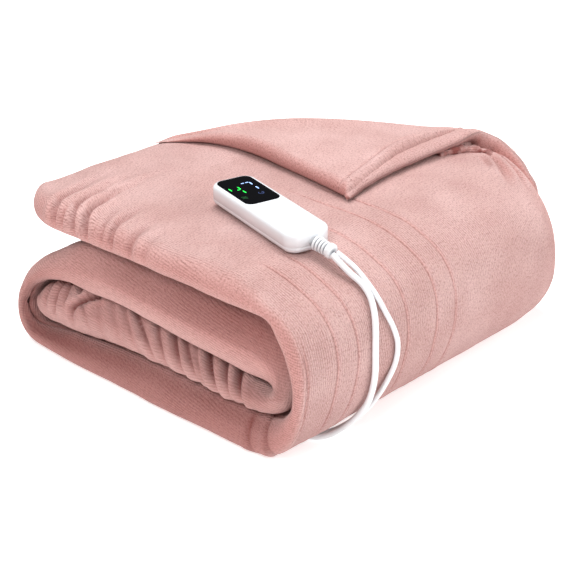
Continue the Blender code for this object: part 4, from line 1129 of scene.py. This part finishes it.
def sewn(name, lines):
    """Stitches along lines of points, as one plain mesh."""
    edges, first = [], 0
    for line in lines:
        edges += [(first + k, first + k + 1) for k in range(len(line) - 1)]
        first += len(line)
    wire = bpy.data.meshes.new(name + "_lines")
    wire.from_pydata([tuple(p) for p in np.concatenate(lines)], edges, [])
    piece = link(name, wire)
    piece.modifiers.new("stitches", "NODES").node_group = stitch_nodes()
    deps = bpy.context.evaluated_depsgraph_get()
    plain = bpy.data.meshes.new_from_object(piece.evaluated_get(deps), depsgraph=deps)
    piece.modifiers.clear()
    piece.data = plain
    plain.shade_smooth()
    return seat(piece, "cloth")


def strip_lines():
    """The sewn lines on the strip's outer face, where it can be seen, just above the cloth."""
    above = pushed(strip, ABOVE_STRIP)
    lines = []
    for column in range(len(FACE)):
        y, z = strip[:, column, 1:].T
        front = int(np.argmin(y))
        last = front + int(np.argmax(y[front:])) + PAST_BACK_TURN
        at = np.flatnonzero((strip_marks["seam"][:, column] > 0.7) & (z > 0.003))
        at = at[at < last]
        runs = np.split(at, np.flatnonzero(np.diff(at) > 1) + 1)
        lines += [above[run, column] for run in runs if len(run) > 3]
    return lines


sewn("channel_stitches", strip_lines())
# the turned-back corner's hem, with a short turn at its tip
hem_line = [flap[row, FLAP_EDGE + 1] for row in (FLAP_SEAM - 6, FLAP_SEAM - 4, FLAP_SEAM - 2)]
hem_line += list(flap[FLAP_SEAM, FLAP_EDGE + 2 : FLAP_EDGE + FLAP_ACROSS + 4])
sewn("hem_stitches", [np.array(hem_line) + (0, 0, ABOVE_HEM)])

# ---- the handset
HANDSET_SIZE = (0.0460, 0.1480, 0.0212)
HANDSET_CENTRE = (-0.1019, -0.0537, 0.1814)
HANDSET_TURN = math.radians(-14.0)
HANDSET_CORNER = 0.0125


def on_handset(points):
    """Moves points from the handset's own place, flat and facing up, to where it lies."""
    c, s = math.cos(HANDSET_TURN), math.sin(HANDSET_TURN)
    x, y, z = np.asarray(points, float).T
    cx, cy, cz = HANDSET_CENTRE
    return np.stack([cx + x * c - y * s, cy + x * s + y * c, cz + z], axis=-1)


def rounded_outline(wide, long, corner, inset, count=16):
    """A rounded rectangle's outline, moved in by inset, anticlockwise."""
    hx, hy = wide / 2 - inset, long / 2 - inset
    r = max(corner - inset, 0.0015)
    points = []
    for right, far, start in ((1, 1, 0), (-1, 1, 90), (-1, -1, 180), (1, -1, 270)):
        for a in np.radians(np.linspace(start, start + 90, count)):
            points.append((right * (hx - r) + r * math.cos(a), far * (hy - r) + r * math.sin(a)))
    return points


def handset_ring(mesh, outline, z):
    """New vertices on an outline at a height on the handset."""
    return [mesh.verts.new(tuple(p)) for p in on_handset([(x, y, z) for x, y in outline])]


def stacked_shell(name, size, corner, levels, surface, side=0.0, forward=0.0):
    """A closed shell of rounded outlines on the handset, stacked from bottom to top. Each level has
    its inset and its height."""
    mesh = bmesh.new()
    rows = []
    for inset, z in levels:
        flat = rounded_outline(*size, corner, inset)
        rows.append(handset_ring(mesh, [(x + side, y + forward) for x, y in flat], z))
    for low, high in zip(rows, rows[1:]):
        ring_faces(mesh, low, high)
    for ring in (rows[0], rows[-1]):
        mesh.faces.new(ring)
    return bm_piece(name, mesh, surface)


def handset_shell():
    """The handset's body: soft edges above and below, and a fine parting line round its side."""
    wide, long, high = HANDSET_SIZE
    top, low, part = 0.0046, 0.0060, -0.0042
    turn = [(math.sin(a), math.cos(a)) for a in np.radians(np.linspace(0, 90, 9))]
    levels = [(low + 0.004, -high / 2)]
    levels += [(low * (1 - s), low * (1 - c) - high / 2) for s, c in turn]
    levels += [(0, part - 0.0003), (0.00022, part - 0.0001)]
    levels += [(0.00022, part + 0.0001), (0, part + 0.0003)]
    levels += [(top * (1 - c), high / 2 - 0.0003 - top * (1 - s)) for s, c in turn]
    levels += [(top + 0.002, high / 2 - 0.0001), (top + 0.006, high / 2)]
    return stacked_shell("handset_shell", (wide, long), HANDSET_CORNER, levels, SHELL)


seat(handset_shell(), "white_plastic", "handset_body")

SCREEN_SIZE = (0.0372, 0.0650)
SCREEN_SIDE, SCREEN_FORWARD = -0.0008, 0.0363
SCREEN_CORNER = 0.0078
HANDSET_TOP = HANDSET_SIZE[2] / 2
SCREEN_TOP = HANDSET_TOP + 0.00035


def display():
    """The display's black window, a little proud of the shell, with a fine rounded edge."""
    edge = ((0.0, -0.0012), (0.0, 0.00012), (0.00012, 0.00028), (0.0004, 0.00035), (0.004, 0.00035))
    levels = [(inset, HANDSET_TOP + z) for inset, z in edge]
    at = (SCREEN_SIDE, SCREEN_FORWARD)
    return stacked_shell("display_window", SCREEN_SIZE, SCREEN_CORNER, levels, GLASS, *at)


seat(display(), "display_black", "handset_screen")

GREEN = lamp_colour("digit_green", (0.01, 0.80, 0.07), 1.0)
BLUE_WHITE = lamp_colour("digit_blue_white", (0.34, 0.52, 0.95), 1.0)
DIM_BLUE = lamp_colour("mark_blue", (0.05, 0.08, 0.22), 0.45)
DIM_GREEN = lamp_colour("mark_green", (0.01, 0.13, 0.03), 0.45)

# The bars of a digit that are lit, on a box one wide and one high: start and end of each.
BARS = {
    "top": ((0, 1), (1, 1)),
    "upper_right": ((1, 1), (1, 0.5)),
    "bottom": ((1, 0), (0, 0)),
    "lower_left": ((0, 0), (0, 0.5)),
    "upper_left": ((0, 0.5), (0, 1)),
}
DIGIT_WIDE, DIGIT_HIGH, BAR_HALF = 0.0074, 0.0096, 0.00066
# Columns: place of the digit's left foot along and across the handset, its lit bars, its colour.
DIGITS = (
    ((0.0475, -0.0160), ("top", "upper_right", "bottom"), "green"),
    ((0.0372, -0.0160), ("top",), "green"),
    ((0.0520, -0.0003), ("top", "upper_left", "lower_left"), "blue"),
    ((0.0400, -0.0003), ("top",), "blue"),
)


def bar_points(foot, start, end):
    """A bar's six corners. A digit stands with its top to the handset's right side, and is read from
    the handset's head to its tail."""
    along = np.array([start, end], float) * (DIGIT_WIDE, DIGIT_HIGH)
    line = along[1] - along[0]
    length = np.linalg.norm(line)
    line = line / length
    side = np.array([-line[1], line[0]]) * BAR_HALF
    a, b = along[0] + line * 0.0005, along[1] - line * 0.0005
    tips = [a, a + line * BAR_HALF + side, b - line * BAR_HALF + side, b]
    tips += [b - line * BAR_HALF - side, a + line * BAR_HALF - side]
    return [(foot[1] + p[1], foot[0] - p[0]) for p in tips]


def flat_marks(name, outlines, surface):
    """Thin raised plates with the given outlines, on the display."""
    mesh = bmesh.new()
    for outline in outlines:
        feet, tops = (handset_ring(mesh, outline, SCREEN_TOP + lift) for lift in (-0.0001, 0.00004))
        mesh.faces.new(tops)
        mesh.faces.new(feet[::-1])
        ring_faces(mesh, feet, tops)
    return seat(bm_piece(name, mesh, surface, smooth=False), "display_black")


def stroke(points, half):
    """Short plates that follow a line."""
    plates = []
    for a, b in zip(points, points[1:]):
        a, b = np.array(a), np.array(b)
        line = (b - a) / np.linalg.norm(b - a)
        side = np.array([-line[1], line[0]]) * half
        plates.append([a - side, b - side, b + side, a + side])
    return plates


def display_marks():
    """The lit digits, a power ring and three heat waves."""
    for name, colour, surface in (
        ("digits_green", "green", GREEN),
        ("digits_blue_white", "blue", BLUE_WHITE),
    ):
        lit = [(foot, bar) for foot, bars, shown in DIGITS if shown == colour for bar in bars]
        flat_marks(name, [bar_points(foot, *BARS[bar]) for foot, bar in lit], surface)
    (x, y), radius = (0.0060, 0.0235), 0.0026
    turns = np.radians(np.linspace(125, 415, 18))
    ring = [(x + radius * math.cos(a), y + radius * math.sin(a)) for a in turns]
    bar = [(x, y), (x + radius * 1.15, y)]
    flat_marks("power_mark", stroke(ring, 0.00022) + stroke(bar, 0.00022), DIM_BLUE)
    heat, t = [], np.linspace(0, 1, 9)
    for y in (0.0191, 0.0210, 0.0229):
        wave = [(-0.0160 + 0.0050 * u, y + 0.0005 * math.sin(2 * math.pi * u)) for u in t]
        heat += stroke(wave, 0.0002)
    flat_marks("heat_mark", heat, DIM_GREEN)


display_marks()

# ---- the handset's strain relief
RELIEF_START = Vector((-0.1173, -0.1281, 0.1800))
RELIEF_END = Vector((-0.1166, -0.1483, 0.1768))


def turned_piece(name, profile, start, end, surface, sides=48):
    """A piece turned about the line from start to end. Its profile has rows of (radius, way along)."""
    mesh = bmesh.new()
    angles = [2 * math.pi * k / sides for k in range(sides)]
    rows = []
    for radius, z in profile:
        ring = [(radius * math.cos(a), radius * math.sin(a), z) for a in angles]
        row = [mesh.verts.new(p) for p in (ring if radius else [(0, 0, z)])]
        rows.append(row * (sides // len(row)))
    for low, high in zip(rows, rows[1:]):
        ring_faces(mesh, low, high)
    turn = (end - start).to_track_quat("Z", "Y").to_matrix().to_4x4()
    mesh.transform(Matrix.Translation(start) @ turn)
    return bm_piece(name, mesh, surface)


def relief():
    """Four rings on a narrow neck, then a collar that holds both leads."""
    length = (RELIEF_END - RELIEF_START).length
    ringed = length - 0.0060
    pitch = ringed / 4.2
    # across each ring: the way along it, and its share of the full height
    edge = ((0, 0), (0.02, 0.75), (0.12, 0.95), (0.35, 1))
    edge += tuple((1 - t, out) for t, out in edge[::-1])
    profile = [(0, -0.004), (0.0052, -0.004)]
    for k in range(4):
        base, radius = pitch * (k + 0.1), 0.0072 - 0.00022 * k
        profile += [(radius - 0.0027 * (1 - out), base + 0.62 * pitch * t) for t, out in edge]
    profile += [(0.0046, ringed - 0.0001), (0.0058, ringed), (0.0068, ringed + 0.0003)]
    profile += [(0.0071, ringed + 0.0010), (0.0071, length - 0.0012), (0.0066, length - 0.0004)]
    profile += [(0.0055, length), (0, length)]
    return turned_piece("lead_relief", profile, RELIEF_START, RELIEF_END, FLEX)


neck = relief()
# painted shade on the neck between the rings
PAINTED_SHADE_RADIUS = 0.0050
inside = neck.data.attributes.new("painted_shading", "FLOAT", "POINT")
axis = (RELIEF_END - RELIEF_START).normalized()
for vertex, mark in zip(neck.data.vertices, inside.data):
    mark.value = float((vertex.co - RELIEF_START).cross(axis).length < PAINTED_SHADE_RADIUS)
seat(neck, "white_cord", "handset_strain_relief")

# ---- the part's own pieces
for name, surface in (
    ("mains_plug", FLEX),
    ("lead_connector", FLEX),
    ("blanket_socket", SHELL),
    ("coil_tie", STRAP),
    ("plug_blade_left", BLADE),
    ("plug_blade_right", BLADE),
):
    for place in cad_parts[name].material_slots:
        place.material = surface

# ---- floor and light
FLOOR_REACH = 6.0
# what the lamps point at
AIM = Vector((0.0, 0.0, 0.08))


def studio():
    """A pale floor that glows a little, an even sky and three square lamps."""
    far = FLOOR_REACH
    data = bpy.data.meshes.new("floor")
    square = [(-far, -far, 0), (far, -far, 0), (far, far, 0), (-far, far, 0)]
    data.from_pydata(square, [], [(0, 1, 2, 3)])
    glow = {"emission_color": (1.0, 1.0, 1.0), "emission_strength": 0.50}
    paper = Surface("pale_floor", roughness=0.95, base_color=(0.90, 0.90, 0.90), **glow)
    floor = dress(link("floor", data), paper.made, smooth=False)
    world = bpy.data.worlds.new("studio")
    world.use_nodes = True
    sky = world.node_tree.nodes["Background"]
    sky.inputs["Color"].default_value = (1.0, 1.0, 1.0, 1)
    sky.inputs["Strength"].default_value = 0.16
    bpy.context.scene.world = world
    bpy.context.scene.view_settings.view_transform = "Standard"
    for name, place, size, power in (
        ("overhead", (0.25, 0.40, 1.9), 1.3, 39.0),
        ("right_front", (1.0, -1.8, 1.2), 1.4, 28.0),
        ("left_high", (-1.2, -0.55, 1.30), 0.8, 16.0),
    ):
        lamp = bpy.data.lights.new(name, "AREA")
        lamp.shape, lamp.size, lamp.energy = "SQUARE", size, power
        obj = link(name, lamp)
        obj.location = place
        obj.rotation_euler = (AIM - Vector(place)).to_track_quat("-Z", "Y").to_euler()


studio()
